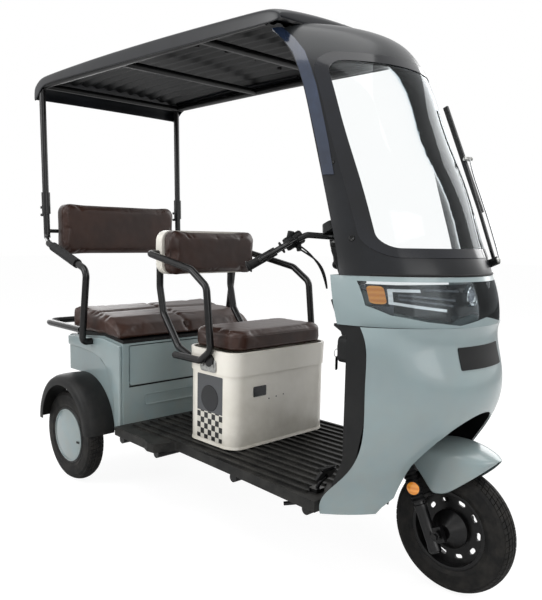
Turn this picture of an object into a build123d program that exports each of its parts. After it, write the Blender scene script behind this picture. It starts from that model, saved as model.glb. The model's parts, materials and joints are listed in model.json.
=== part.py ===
from build123d import *
import os

# Three-wheeled electric passenger moped with a roof and a windscreen.
# +X points ahead, +Y to the rider's left, +Z up; the origin is on the ground at the middle of the box.

# driving dimensions, in millimetres
wheelbase = 1700
track = 816
wheel_gap = 8
tyre_r = 207
tyre_w = 80
rim_r = 127
rear_reach = 345
seat_gap = 0.3
skin = 4
tube_r = 15
bar_r = 11
rail_r = 20

# x of the rear axle, so that the roof's rear edge and the front tyre lie the same distance from the origin
rear_axle_x = (rear_reach - wheelbase - tyre_r) / 2
front_axle_x = rear_axle_x + wheelbase


def fore(distance):
    """x of a place that lies this far ahead of the rear axle"""
    return rear_axle_x + distance


# steering: the axis leans back, and the wheel's axle lies ahead of it
rake = 25.5
axis_foot = (1580, 305)
axle_ahead = 66.1
axle_below = 140.1
leg_ahead = 35
leg_y = 85
leg_r = 17
stem_r = 20
crown_low = 163
crown_h = 30
head_low = 250
head_high = 470
head_r = 27
stem_top = 896
guard_r = 294
guard_half = 75
guard_t = 3
upright = Plane(origin=(fore(axis_foot[0]), 0, axis_foot[1]), x_dir=(1, 0, 0), z_dir=(0, 0, 1))
steer = upright.rotated((0, -rake, 0))

# wheels
axle_r = 8
axle_gap = 0.05
hub_half = 60
disc_r = 118
band_t = 10
cap_r = 118
cap_dome = 12
cap_t = 2.5

# floor deck: top, lip and ribs
deck_top = 311
deck_lip = 36
deck_t = 6
rib_h = 7.7
rib_w = 12
rib_pitch = 44
box_seat_z = deck_top + rib_h + seat_gap
rail_z = deck_top - deck_lip - seat_gap - rail_r

# driver's box and seat
box_rear = 648
box_front = 930
box_half = 263
box_top = 690
box_corner = 58
driver_cushion_low = box_top + 2 * seat_gap
driver_cushion_high = 762
driver_cushion_half = box_half - 11
arm_gap = 22
arm_y = box_half + arm_gap
back_low = 957
back_high = 1140
back_half = box_half - 23
back_shell_rear = 389
back_shell_front = 443
back_pad_front = 503

# rear body and bench: they stand between the wheels, and the side rails stand out from the body
body_half = (track - tyre_w) / 2 - wheel_gap
body_front = 330
body_low = deck_top - deck_lip
bench_half = body_half + 25
rear_rail_y = body_half + 60
rear_back_half = 330

# outline of the floor deck: distance ahead of the rear axle and half width
deck_edge = (
    (body_front + seat_gap, body_half + 42),
    (560, body_half + 50),
    (600, body_half + 64),
    (640, body_half + 58),
    (668, 332),
    (980, 346),
    (1436, 374),
)

# front cowl
cowl_top = 866
band_top = 1012
shield_half = 325.5

# windscreen and roof
roof_half = 405
roof_front = 1222
roof_taper = 39 / 1460

parts = {}

# wheels: tyre, rim with its hub and disc, and a domed cap on the rear ones
wheels = (
    # name, distance ahead of the rear axle, y, side that faces out, hub half width
    ("front", wheelbase, 0, 1, hub_half),
    ("rear_right", 0, -track / 2, -1, 32),
    ("rear_left", 0, track / 2, 1, 32),
)
for name, ahead, y, out, hub in wheels:
    section = Plane(origin=(fore(ahead), y, tyre_r), x_dir=(0, out, 0), z_dir=(out, 0, 0))
    spin = Axis((fore(ahead), y, tyre_r), (0, 1, 0))
    half = tyre_w / 2
    with BuildPart() as tyre:
        with BuildSketch(section):
            with BuildLine():
                ThreePointArc((-half + 7, rim_r), (-half, rim_r + 32), (-half + 5, tyre_r - 17))
                ThreePointArc((-half + 5, tyre_r - 17), (0, tyre_r), (half - 5, tyre_r - 17))
                ThreePointArc((half - 5, tyre_r - 17), (half, rim_r + 32), (half - 7, rim_r))
                Line((half - 7, rim_r), (-half + 7, rim_r))
            make_face()
        revolve(axis=spin)
    parts["tyre_" + name] = tyre.part

    with BuildPart() as rim:
        with BuildSketch(section):
            with Locations((0, rim_r - seat_gap - band_t / 2)):
                Rectangle(2 * half - 14, band_t)
            with Locations((-2, (disc_r + 20) / 2)):
                Rectangle(8, disc_r - 20)
            with BuildLine():
                Polyline((-hub, axle_r + axle_gap), (-hub, 24), (-22, 62), (22, 62), (hub, 24),
                         (hub, axle_r + axle_gap), (-hub, axle_r + axle_gap))
            make_face()
        revolve(axis=spin)
        with BuildSketch(Plane(origin=(fore(ahead), y - 40, tyre_r), x_dir=(1, 0, 0), z_dir=(0, 1, 0))):
            with PolarLocations(91, 10):
                SlotOverall(26, 14, rotation=90)
        extrude(amount=80, mode=Mode.SUBTRACT)
    parts["rim_" + name] = rim.part

    if ahead == 0:
        cap_seat = half - 7 + seat_gap
        with BuildPart() as cap:
            with BuildSketch(section):
                with BuildLine():
                    Line((cap_seat, cap_r), (cap_seat + cap_t, cap_r))
                    ThreePointArc((cap_seat + cap_t, cap_r), (cap_seat + cap_t + 9, 60),
                                  (cap_seat + cap_t + cap_dome, 4))
                    Line((cap_seat + cap_t + cap_dome, 4), (cap_seat + cap_dome, 4))
                    ThreePointArc((cap_seat + cap_dome, 4), (cap_seat + 9, 60), (cap_seat, cap_r))
                make_face()
            revolve(axis=spin)
            boss_foot = (fore(ahead), y + out * (cap_seat + cap_dome - 1), tyre_r)
            with BuildSketch(Plane(origin=boss_foot, x_dir=(1, 0, 0), z_dir=(0, out, 0))):
                Circle(8)
            extrude(amount=cap_t + 1)
        parts["cap_" + name] = cap.part

# fork: crown, legs with their axle lugs, stem and axle
with BuildPart() as fork:
    with BuildSketch(steer.offset(crown_low)):
        with Locations((leg_ahead / 2, 0)):
            RectangleRounded(leg_ahead + 2 * leg_r + 10, 2 * (leg_y + leg_r + 4), 20)
    extrude(amount=crown_h)
    with BuildSketch(steer.offset(-axle_below - 52)):
        with Locations((leg_ahead, -leg_y), (leg_ahead, leg_y)):
            Circle(leg_r)
    extrude(amount=axle_below + 52 + crown_low)
    for side in (-1, 1):
        with BuildSketch(steer.offset(-axle_below - 24)):
            with Locations(((leg_ahead + axle_ahead) / 2 + 5, side * leg_y)):
                Rectangle(axle_ahead - leg_ahead + 26, 14)
        extrude(amount=48)
        with BuildSketch(steer.offset(40)):
            with Locations((leg_ahead + 34, side * (guard_half - guard_t - 3))):
                Rectangle(52, 5)
        extrude(amount=22)
    with BuildSketch(steer.offset(crown_low + crown_h)):
        Circle(stem_r)
    extrude(amount=stem_top - crown_low - crown_h)
    with BuildSketch(Plane(origin=(front_axle_x, -leg_y - 22, tyre_r), x_dir=(1, 0, 0), z_dir=(0, 1, 0))):
        Circle(axle_r)
    extrude(amount=2 * leg_y + 44)
parts["fork"] = fork.part

# front mudguard: an arch over the tyre with side skirts that rise towards its pointed visor
guard_outline = ((1664, 322), (1773, 394), (1812, 432), (1842, 440), (1830, 560), (1558, 560), (1558, 450))
guard_section = Plane(origin=(front_axle_x, 0, tyre_r), x_dir=(0, 1, 0), z_dir=(1, 0, 0))
guard_axis = Axis((front_axle_x, 0, tyre_r), (0, 1, 0))
with BuildPart() as mudguard:
    with BuildSketch(guard_section):
        with BuildLine():
            Polyline((-guard_half, guard_r - 40), (-guard_half, 120), (guard_half, 120),
                     (guard_half, guard_r - 40))
            ThreePointArc((guard_half, guard_r - 40), (0, guard_r), (-guard_half, guard_r - 40))
        make_face()
        within = guard_half - guard_t
        with BuildLine():
            Polyline((-within, guard_r - 42), (-within, 110), (within, 110), (within, guard_r - 42))
            ThreePointArc((within, guard_r - 42), (0, guard_r - guard_t), (-within, guard_r - 42))
        make_face(mode=Mode.SUBTRACT)
    revolve(axis=guard_axis, revolution_arc=360)
    # keep the stretch from under the crown to the visor, above the rising skirt line
    with BuildSketch(Plane.XZ):
        with BuildLine():
            Polyline(*[(fore(x), z) for x, z in guard_outline + guard_outline[:1]])
        make_face()
    extrude(amount=200, both=True, mode=Mode.INTERSECT)
    # the arch is narrow where it passes between the legs
    for side in (-1, 1):
        with BuildSketch(steer.offset(-60)):
            with Locations((0, side * 110)):
                Rectangle(2 * (leg_ahead + leg_r + 4), 100)
        extrude(amount=400, mode=Mode.SUBTRACT)
    with BuildSketch(steer.offset(crown_low - seat_gap)):
        Rectangle(200, 300)
    extrude(amount=100, mode=Mode.SUBTRACT)
parts["mudguard_front"] = mudguard.part

# handlebar, its grips, the sleeve round the stem and the instrument pod
bar_points = ((1190, 45, 1125), (1130, 105, 1130), (1054, 150, 1085), (980, 250, 1012))
with BuildPart() as handlebar:
    with BuildLine() as bar_path:
        FilletPolyline(*[(fore(x), -y, z) for x, y, z in reversed(bar_points)],
                       *[(fore(x), y, z) for x, y, z in bar_points], radius=30)
    with BuildSketch(Plane(origin=bar_path.line @ 0, z_dir=bar_path.line % 0)):
        Circle(bar_r)
    sweep()
    with BuildSketch(steer.offset(stem_top + seat_gap)):
        RectangleRounded(44, 60, 8)
    extrude(amount=24)
parts["handlebar"] = handlebar.part
grip_r = 16
with BuildPart() as grips:
    for side in (-1, 1):
        tip = Vector(fore(bar_points[3][0]), side * bar_points[3][1], bar_points[3][2])
        root = Vector(fore(bar_points[2][0]), side * bar_points[2][1], bar_points[2][2])
        along = (tip - root).normalized()
        with BuildSketch(Plane(origin=tip + along * 3, z_dir=along)):
            Circle(grip_r)
        extrude(amount=-118)
    add(handlebar.part, mode=Mode.SUBTRACT)
parts["grips"] = grips.part
sleeve_r = 42
with BuildPart() as sleeve:
    with BuildSketch(steer.offset(720)):
        Circle(sleeve_r)
        Circle(stem_r + seat_gap, mode=Mode.SUBTRACT)
    extrude(amount=150)
parts["stem_sleeve"] = sleeve.part
with BuildPart() as pod:
    with BuildSketch(steer.offset(stem_top + 26)):
        with Locations((14, 0)):
            RectangleRounded(70, 150, 24)
    with BuildSketch(steer.offset(stem_top + 62)):
        with Locations((10, 0)):
            RectangleRounded(52, 126, 20)
    loft()
    add(handlebar.part, mode=Mode.SUBTRACT)
parts["instrument_pod"] = pod.part

# chassis: head tube, down tube, two rails that climb over the rear axle, and cross tubes
rail_y = 150
cross_r = 17
rear_rail_z = 489 - seat_gap - rail_r
with BuildPart() as chassis:
    with BuildSketch(steer.offset(head_low)):
        Circle(head_r)
    extrude(amount=head_high - head_low)
    with BuildLine() as down_path:
        FilletPolyline((fore(1436), 0, 596), (fore(1425), 0, 520), (fore(1425), 0, rail_z + 50),
                       (fore(1370), 0, rail_z), radius=25)
    with BuildSketch(Plane(origin=down_path.line @ 0, z_dir=down_path.line % 0)):
        Circle(18)
    sweep()
    for side in (-1, 1):
        with BuildLine() as rail_path:
            FilletPolyline((fore(1370), side * rail_y, rail_z),
                           (fore(190), side * rail_y, rail_z),
                           (fore(46), side * rail_y, rear_rail_z),
                           (fore(-118), side * rail_y, rear_rail_z), radius=60)
        with BuildSketch(Plane(origin=rail_path.line @ 0, z_dir=rail_path.line % 0)):
            Circle(rail_r)
        sweep()
    with BuildSketch(Plane(origin=(fore(1370), -340, rail_z), x_dir=(1, 0, 0), z_dir=(0, 1, 0))):
        Circle(cross_r)
    extrude(amount=680)
    with BuildSketch(steer.offset(head_low - 10)):
        Circle(stem_r + seat_gap)
    extrude(amount=head_high - head_low + 20, mode=Mode.SUBTRACT)
    # footpeg bracket under the right edge
    with BuildLine() as peg_path:
        FilletPolyline((fore(1300), -rail_y, rail_z), (fore(1305), -237, 236), (fore(1232), -298, 222),
                       radius=12)
    with BuildSketch(Plane(origin=peg_path.line @ 0, z_dir=peg_path.line % 0)):
        Circle(7)
    sweep()
parts["chassis"] = chassis.part

# cross tubes, welded to the rails: distance ahead of the rear axle, half length and height
cross_tube_rows = (
    (1000, 325, rail_z),
    (600, 380, rail_z),
    (350, 380, rail_z),
    (-95, rail_y, rear_rail_z),
)
with BuildPart() as cross_tubes:
    for ahead, reach, level in cross_tube_rows:
        with BuildSketch(Plane(origin=(fore(ahead), -reach, level), x_dir=(1, 0, 0), z_dir=(0, 1, 0))):
            Circle(cross_r)
        extrude(amount=2 * reach)
    add(chassis.part, mode=Mode.SUBTRACT)
parts["cross_tubes"] = cross_tubes.part

# rear axle beam with its stubs, drum plates, trailing arms and the block of the motor
with BuildPart() as axle:
    with BuildSketch(Plane(origin=(fore(0), -track / 2 - 31, tyre_r), x_dir=(1, 0, 0), z_dir=(0, 1, 0))):
        Circle(axle_r)
    extrude(amount=track + 62)
    with BuildSketch(Plane(origin=(fore(0), -track / 2 + 50, tyre_r), x_dir=(1, 0, 0), z_dir=(0, 1, 0))):
        Circle(24)
    extrude(amount=track - 100)
    for side in (-1, 1):
        plate_y = side * (track / 2 - 50)
        with BuildSketch(Plane(origin=(fore(0), plate_y, tyre_r), x_dir=(1, 0, 0), z_dir=(0, side, 0))):
            Circle(66)
        extrude(amount=-12)
        with BuildSketch(Plane.XZ.offset(-side * 190)):
            with BuildLine():
                Polyline((fore(-30), tyre_r - 14), (fore(-30), tyre_r + 14), (fore(290), rail_z + 12),
                         (fore(290), rail_z - 14), (fore(-30), tyre_r - 14))
            make_face()
        extrude(amount=13, both=True)
        pivot = (fore(290), side * (rail_y + rail_r + seat_gap), rail_z)
        with BuildSketch(Plane(origin=pivot, x_dir=(1, 0, 0), z_dir=(0, side, 0))):
            Circle(15)
        extrude(amount=24)
parts["rear_axle"] = axle.part
with BuildPart() as motor:
    with BuildSketch(Plane(origin=(fore(0), -95, tyre_r), x_dir=(1, 0, 0), z_dir=(0, 1, 0))):
        Circle(88)
    extrude(amount=150)
    fillet(motor.edges().filter_by(GeomType.CIRCLE), 14)
    add(axle.part, mode=Mode.SUBTRACT)
parts["motor"] = motor.part
with BuildPart() as dampers:
    for side in (-1, 1):
        low = Vector(fore(14), side * 236, tyre_r + 24.4)
        high = Vector(fore(-60), side * 236, rear_rail_z + 12)
        along = (high - low).normalized()
        span = (high - low).length
        with BuildSketch(Plane(origin=low, z_dir=along)):
            Circle(9)
        extrude(amount=span)
        with BuildSketch(Plane(origin=low + along * 34, z_dir=along)):
            Circle(24)
        extrude(amount=span - 80)
        pin_foot = (fore(-60), side * (rail_y + rail_r - 4), rear_rail_z)
        with BuildSketch(Plane(origin=pin_foot, x_dir=(1, 0, 0), z_dir=(0, side, 0))):
            Circle(10)
        extrude(amount=80)
    add(chassis.part, mode=Mode.SUBTRACT)
    add(axle.part, mode=Mode.SUBTRACT)
parts["dampers"] = dampers.part

# floor deck: an outline that widens beside the bench, with lips and lengthwise ribs
with BuildPart() as deck:
    with BuildSketch(Plane.XY.offset(deck_top - deck_lip)) as deck_plan:
        with BuildLine():
            Polyline(*[(fore(x), y) for x, y in deck_edge],
                     *[(fore(x), -y) for x, y in reversed(deck_edge)],
                     (fore(deck_edge[0][0]), deck_edge[0][1]))
        make_face()
    extrude(amount=deck_lip)
    fillet(deck.edges().filter_by(Axis.Z).group_by(Axis.X)[1:-1], 12)
    with BuildSketch(Plane.XY.offset(deck_top - deck_lip)):
        add(deck_plan.sketch_local)
        offset(amount=-deck_t, mode=Mode.REPLACE)
    extrude(amount=deck_lip - deck_t, mode=Mode.SUBTRACT)
    rib_rows = int(2 * 330 / rib_pitch)
    for row in range(rib_rows + 1):
        y = (row - rib_rows / 2) * rib_pitch
        with BuildSketch(Plane.XY.offset(deck_top)):
            with Locations((fore(865), y)):
                SlotOverall(1010, rib_w)
        extrude(amount=rib_h)
    with BuildSketch(Plane.XY.offset(deck_top - deck_lip)):
        with Locations((fore(1408), 0)):
            SlotOverall(82, 48)
    extrude(amount=2 * deck_lip, mode=Mode.SUBTRACT)
parts["floor_deck"] = deck.part

# front cowl: level, half width, where the side ends and the nose's arc starts, nose
cowl_levels = (
    (268, 352, 1440, 1618),
    (340, 356, 1462, 1642),
    (435, 345, 1545, 1683),
    (600, 330, 1580, 1780),
    (720, 335, 1583, 1786),
    (cowl_top, 340, 1560, 1771),
)
# half of the wheel arch's outline, from its foot to where its round top starts
arch_half = ((255, 200), (211, 291), (184, 322), (181, 375), (181, 440), (166, 482), (145, 520), (118, 553))
arch_top = 600
with BuildPart() as cowl_block:
    for level, half, side, nose in cowl_levels:
        with BuildSketch(Plane.XY.offset(level)):
            with BuildLine():
                Line((fore(side), half), (fore(side), -half))
                ThreePointArc((fore(side), -half), (fore(nose), 0), (fore(side), half))
            make_face()
    loft()
with BuildPart() as cowl:
    add(cowl_block.part)
    for level, half, side, nose in cowl_levels:
        with BuildSketch(Plane.XY.offset(level + (-1 if level < 300 else 1 if level == cowl_top else 0))):
            with BuildLine():
                Polyline((fore(side), half - skin), (fore(side - 20), half - skin),
                         (fore(side - 20), -half + skin), (fore(side), -half + skin))
                ThreePointArc((fore(side), -half + skin), (fore(nose - skin), 0), (fore(side), half - skin))
            make_face()
    loft(mode=Mode.SUBTRACT)
    # arch for the wheel, mudguard and fork, open at the bottom
    with BuildSketch(Plane.YZ.offset(fore(1400))):
        with BuildLine():
            Polyline(*[(-y, z) for y, z in arch_half])
            ThreePointArc((-arch_half[-1][0], arch_half[-1][1]), (0, arch_top), arch_half[-1])
            Polyline(*reversed(arch_half), (-arch_half[0][0], arch_half[0][1]))
        make_face()
    extrude(amount=500, mode=Mode.SUBTRACT)
parts["front_cowl"] = cowl.part

# headlamp band: the housing, its clear cover, the two lamps and the turn signals at its ends
band_levels = (
    # level, half width, side, nose
    (cowl_top + seat_gap, 340, 1474, 1772),
    (950, 341, 1452, 1762),
    (band_top, 338, 1440, 1740),
)
lens_rear = 1500
lens_reach = 400
lens_high = band_top - 14
lens_half = ((319, lens_high), (316, lens_high - 70), (282, lens_high - 95), (213, lens_high - 112),
             (115, lens_high - 125), (0, lens_high - 105))
# half width, side and nose of the space inside the band
band_hollow = (320, 1470, 1690)
band_hollow_rear = 1400
with BuildPart() as band_block:
    for level, half, side, nose in band_levels:
        with BuildSketch(Plane.XY.offset(level)):
            with BuildLine():
                Line((fore(side), half), (fore(side), -half))
                ThreePointArc((fore(side), -half), (fore(nose), 0), (fore(side), half))
            make_face()
    loft()
with BuildPart() as lens_zone:
    with BuildSketch(Plane.YZ.offset(fore(lens_rear))):
        with BuildLine():
            Polyline(*lens_half, *[(-y, z) for y, z in reversed(lens_half[:-1])], lens_half[0])
        make_face()
    extrude(amount=lens_reach)
with BuildPart() as band_core:
    for level, half, side, nose in band_levels:
        within = half - 3 * skin
        with BuildSketch(Plane.XY.offset(level)):
            with BuildLine():
                Polyline((fore(side), within), (fore(side - 30), within), (fore(side - 30), -within),
                         (fore(side), -within))
                ThreePointArc((fore(side), -within), (fore(nose - 60), 0), (fore(side), within))
            make_face()
    loft()
with BuildPart() as band:
    add(band_block.part)
    with BuildSketch(Plane.XY.offset(cowl_top - 10)):
        half, side, nose = band_hollow
        with BuildLine():
            Line((fore(band_hollow_rear), half), (fore(band_hollow_rear), -half))
            Line((fore(band_hollow_rear), -half), (fore(side), -half))
            ThreePointArc((fore(side), -half), (fore(nose), 0), (fore(side), half))
            Line((fore(side), half), (fore(band_hollow_rear), half))
        make_face()
    extrude(amount=band_top - cowl_top + 10 - skin, mode=Mode.SUBTRACT)
    with BuildPart(mode=Mode.SUBTRACT):
        add(lens_zone.part)
        add(band_core.part, mode=Mode.SUBTRACT)
parts["headlamp_housing"] = band.part
lens_t = 3
lamp_gap = 2
# what lies inside the cover, and what lies inside it by the lamps' clearance too
inside = {}
for inset in (lens_t, lens_t + lamp_gap):
    with BuildPart() as inset_block:
        for level, half, side, nose in band_levels:
            within = half - inset
            with BuildSketch(Plane.XY.offset(level)):
                with BuildLine():
                    Line((fore(side), within), (fore(side), -within))
                    ThreePointArc((fore(side), -within), (fore(nose - inset), 0), (fore(side), within))
                make_face()
        loft()
    inside[inset] = inset_block.part
with BuildPart() as lens:
    add(band_block.part)
    add(lens_zone.part, mode=Mode.INTERSECT)
    add(inside[lens_t], mode=Mode.SUBTRACT)
parts["headlamp_lens"] = lens.part
with BuildPart() as lamp_space:
    add(inside[lens_t + lamp_gap])
    add(lens_zone.part, mode=Mode.INTERSECT)
    add(band_core.part, mode=Mode.SUBTRACT)
lamp_y = 57
lamp_z = lens_high - 42
lamp_r = 26
lamp_rear = 1680
lamp_front = 1736
with BuildPart() as lamps:
    with BuildSketch(Plane.YZ.offset(fore(lamp_rear))):
        with Locations((-lamp_y, lamp_z), (lamp_y, lamp_z)):
            Circle(lamp_r)
    extrude(amount=lamp_front - lamp_rear)
    add(lamp_space.part, mode=Mode.INTERSECT)
parts["headlamps"] = lamps.part
signal_y = 298
signal_w = 28
signal_h = 54
with BuildPart() as signals:
    with BuildSketch(Plane.YZ.offset(fore(lens_rear))):
        with Locations((-signal_y, lens_high - 38), (signal_y, lens_high - 38)):
            RectangleRounded(signal_w, signal_h, 8)
    extrude(amount=lens_reach)
    add(lamp_space.part, mode=Mode.INTERSECT)
parts["turn_signals"] = signals.part

# leg shield: the black panel behind the cowl, with the cover of the steering column
console_rear = 1398
shield_rear = ((1441, deck_top + seat_gap), (1500, 450), (1500, cowl_top - 34), (1450, cowl_top - 8),
               (1450, cowl_top - 1))
shield_front = ((1561, cowl_top - 1), (1583, 720), (1580, 600), (1545, 435), (1462, 340),
                (1450, deck_top + seat_gap))
cover_rear = ((console_rear, 450), (console_rear, 520), (1221, 905), (1330, 960), (1452, 930), (1520, 800),
              (1520, 450))
cover_half = 72
console_half = 120
console_top = 555
with BuildPart() as shield:
    with BuildSketch(Plane.XZ) as shield_side:
        with BuildLine():
            Polyline(*[(fore(x), z) for x, z in shield_rear + shield_front + shield_rear[:1]])
        make_face()
    extrude(amount=shield_half, both=True)
    with BuildSketch(Plane.XZ) as cover_side:
        with BuildLine():
            Polyline(*[(fore(x), z) for x, z in cover_rear + cover_rear[:1]])
        make_face()
    extrude(amount=cover_half, both=True)
    with BuildSketch(Plane.XZ):
        with BuildLine():
            Polyline((fore(console_rear), deck_top + seat_gap), (fore(console_rear), console_top - 40),
                     (fore(console_rear + 14), console_top), (fore(1520), console_top),
                     (fore(1520), deck_top + seat_gap), (fore(console_rear), deck_top + seat_gap))
        make_face()
    extrude(amount=console_half, both=True)
    with BuildSketch(Plane.XZ):
        with BuildLine():
            Polyline(*[(fore(x + skin + 1), z - (3 if z > 500 else -3)) for x, z in shield_rear],
                     *[(fore(x + 30), z - (3 if z > 500 else -3)) for x, z in shield_front],
                     (fore(shield_rear[0][0] + skin + 1), shield_rear[0][1] + 3))
        make_face()
    extrude(amount=shield_half - skin, both=True, mode=Mode.SUBTRACT)
    with BuildSketch(Plane.XZ):
        add(cover_side.sketch_local)
        offset(amount=-skin, kind=Kind.INTERSECTION, mode=Mode.REPLACE)
    extrude(amount=cover_half - skin, both=True, mode=Mode.SUBTRACT)
    with BuildSketch(Plane.XZ):
        with BuildLine():
            Polyline((fore(console_rear + skin), deck_top - 10),
                     (fore(console_rear + skin), console_top - 42),
                     (fore(console_rear + 16), console_top - skin), (fore(1560), console_top - skin),
                     (fore(1560), deck_top - 10), (fore(console_rear + skin), deck_top - 10))
        make_face()
    extrude(amount=console_half - skin, both=True, mode=Mode.SUBTRACT)
    add(cowl_block.part, mode=Mode.SUBTRACT)
    with BuildSketch(steer.offset(600)):
        Circle(sleeve_r + 6)
    extrude(amount=160, mode=Mode.SUBTRACT)
parts["leg_shield"] = shield.part

# windscreen: level, half width, rear edge of the side, nose
screen_levels = (
    (band_top + seat_gap, 335, 1470, 1738),
    (1100, 329, 1449, 1704),
    (1200, 327, 1418, 1666),
    (1300, 325, 1386, 1626),
    (1480, 325, 1331, 1538),
    (1600, 325, 1290, 1488),
    (1680, 325, 1248, 1446),
    (1740, 323, 1195, 1402),
    (1785, 320, 1135, 1342),
    (1806, 316, 1095, 1262),
)
window_low = 1092
window_high = 1660
window_half = 276
window_corner = 45
window_rear = 1150
window_reach = 700
roof_ribs = (
    # distance ahead of the rear axle, half width, edge, shoulder, crown
    (-rear_reach, roof_half, 1735, 1796, 1818),
    (-270, roof_half, 1797, 1832, 1856),
    (190, roof_half - 460 * roof_taper, 1790, 1844, 1868),
    (660, roof_half - 930 * roof_taper, 1785, 1840, 1866),
    (1030, roof_half - 1300 * roof_taper, 1779, 1830, 1858),
    (1190, roof_half - 1460 * roof_taper, 1776, 1824, 1849),
    (roof_front, roof_half - 1460 * roof_taper - 10, 1786, 1812, 1838),
)
with BuildPart() as roof_block:
    for ahead, half, edge, shoulder, crown in roof_ribs:
        with BuildSketch(Plane.YZ.offset(fore(ahead))):
            with BuildLine():
                Polyline((half, shoulder), (half, edge), (-half, edge), (-half, shoulder))
                ThreePointArc((-half, shoulder), (0, crown), (half, shoulder))
            make_face()
    loft(ruled=True)
with BuildPart() as roof_space:
    for ahead, half, edge, shoulder, crown in roof_ribs:
        within = half - skin
        with BuildSketch(Plane.YZ.offset(fore(max(min(ahead, roof_front - skin), skin - rear_reach)))):
            with BuildLine():
                Polyline((within, shoulder - skin), (within, edge - 6), (-within, edge - 6),
                         (-within, shoulder - skin))
                ThreePointArc((-within, shoulder - skin), (0, crown - skin), (within, shoulder - skin))
            make_face()
    loft(ruled=True)
with BuildPart() as roof:
    add(roof_block.part)
    add(roof_space.part, mode=Mode.SUBTRACT)
parts["roof_shell"] = roof.part

# everything above the roof's lower edge, to trim the windscreen frame where the roof sits on it
with BuildPart() as above_roof:
    for ahead, half, edge, shoulder, crown in roof_ribs:
        outer = ahead + (seat_gap if ahead == roof_front else 0)
        with BuildSketch(Plane.YZ.offset(fore(outer))):
            with BuildLine():
                Polyline((half, edge + 300), (half, edge - seat_gap), (-half, edge - seat_gap),
                         (-half, edge + 300), (half, edge + 300))
            make_face()
    loft(ruled=True)

with BuildPart() as screen_zone:
    with BuildSketch(Plane.YZ.offset(fore(window_rear))):
        with Locations((0, (window_low + window_high) / 2)):
            RectangleRounded(2 * window_half, window_high - window_low, window_corner)
    extrude(amount=window_reach)
with BuildPart() as screen_block:
    for level, half, side, nose in screen_levels:
        with BuildSketch(Plane.XY.offset(level)):
            with BuildLine():
                Line((fore(side), half), (fore(side), -half))
                ThreePointArc((fore(side), -half), (fore(nose), 0), (fore(side), half))
            make_face()
    loft()
with BuildPart() as screen_shell:
    add(screen_block.part)
    for level, half, side, nose in screen_levels:
        within = half - skin
        with BuildSketch(Plane.XY.offset(level)):
            with BuildLine():
                Line((fore(side - 9), within), (fore(side - 9), -within))
                ThreePointArc((fore(side - 9), -within), (fore(nose - skin), 0), (fore(side - 9), within))
            make_face()
    loft(mode=Mode.SUBTRACT)
    add(above_roof.part, mode=Mode.SUBTRACT)
with BuildPart() as screen_frame:
    add(screen_shell.part)
    add(screen_zone.part, mode=Mode.SUBTRACT)
parts["windscreen_frame"] = screen_frame.part
with BuildPart() as screen_glass:
    add(screen_shell.part)
    add(screen_zone.part, mode=Mode.INTERSECT)
parts["windscreen_glass"] = screen_glass.part

# wiper: pivot on the frame's lower band, arm and blade, each from its foot to its head
wiper_foot = (1689, 150, 1046)
wiper_bars = (
    # foot, head, width, depth
    ((1709, 150, 1054), (1552, 202, 1389), 8, 9),
    ((1624, 204, 1212), (1470, 204, 1569), 10, 16),
)
with BuildPart() as wiper:
    pivot = (fore(wiper_foot[0]), *wiper_foot[1:])
    with BuildSketch(Plane(origin=pivot, x_dir=(0, 1, 0), z_dir=(1, 0, 0.45))):
        Circle(13)
    extrude(amount=34)
    for foot, head, wide, deep in wiper_bars:
        foot = Vector(fore(foot[0]), foot[1], foot[2])
        head = Vector(fore(head[0]), head[1], head[2])
        with BuildSketch(Plane(origin=foot, x_dir=(0, 1, 0), z_dir=head - foot)):
            Rectangle(wide, deep)
        extrude(amount=(head - foot).length)
    add(screen_block.part, mode=Mode.SUBTRACT)
parts["wiper"] = wiper.part

# roof carrier under the shell and the two upper poles with their collars
pole_y = roof_half - skin - tube_r - seat_gap
carrier_z = 1797
carrier_rear = -300
carrier_front = 1150
carrier_taper = (carrier_front - carrier_rear) * roof_taper
collar_low = 1210
with BuildPart() as carrier:
    for side in (-1, 1):
        rear = Vector(fore(carrier_rear), side * pole_y, carrier_z)
        front = Vector(fore(carrier_front), side * (pole_y - carrier_taper), carrier_z)
        with BuildSketch(Plane(origin=rear, z_dir=front - rear)):
            Circle(tube_r)
        extrude(amount=(front - rear).length)
parts["roof_carrier"] = carrier.part
with BuildPart() as crossbars:
    for ahead in (-285, 350, 830):
        reach = pole_y - (ahead - carrier_rear) * roof_taper
        with BuildSketch(Plane(origin=(fore(ahead), -reach, carrier_z), x_dir=(1, 0, 0), z_dir=(0, 1, 0))):
            Circle(tube_r - 1)
        extrude(amount=2 * reach)
    add(carrier.part, mode=Mode.SUBTRACT)
parts["roof_crossbars"] = crossbars.part
with BuildPart() as poles:
    for side in (-1, 1):
        top = Vector(fore(-300), side * pole_y, carrier_z - tube_r - seat_gap)
        foot = Vector(fore(-286), side * pole_y, collar_low)
        along = (top - foot).normalized()
        with BuildSketch(Plane(origin=foot, z_dir=along)):
            Circle(tube_r)
        extrude(amount=(top - foot).length - 1)
        with BuildSketch(Plane(origin=foot, z_dir=along)):
            Circle(tube_r + 5)
        extrude(amount=100)
parts["roof_poles"] = poles.part

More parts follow.
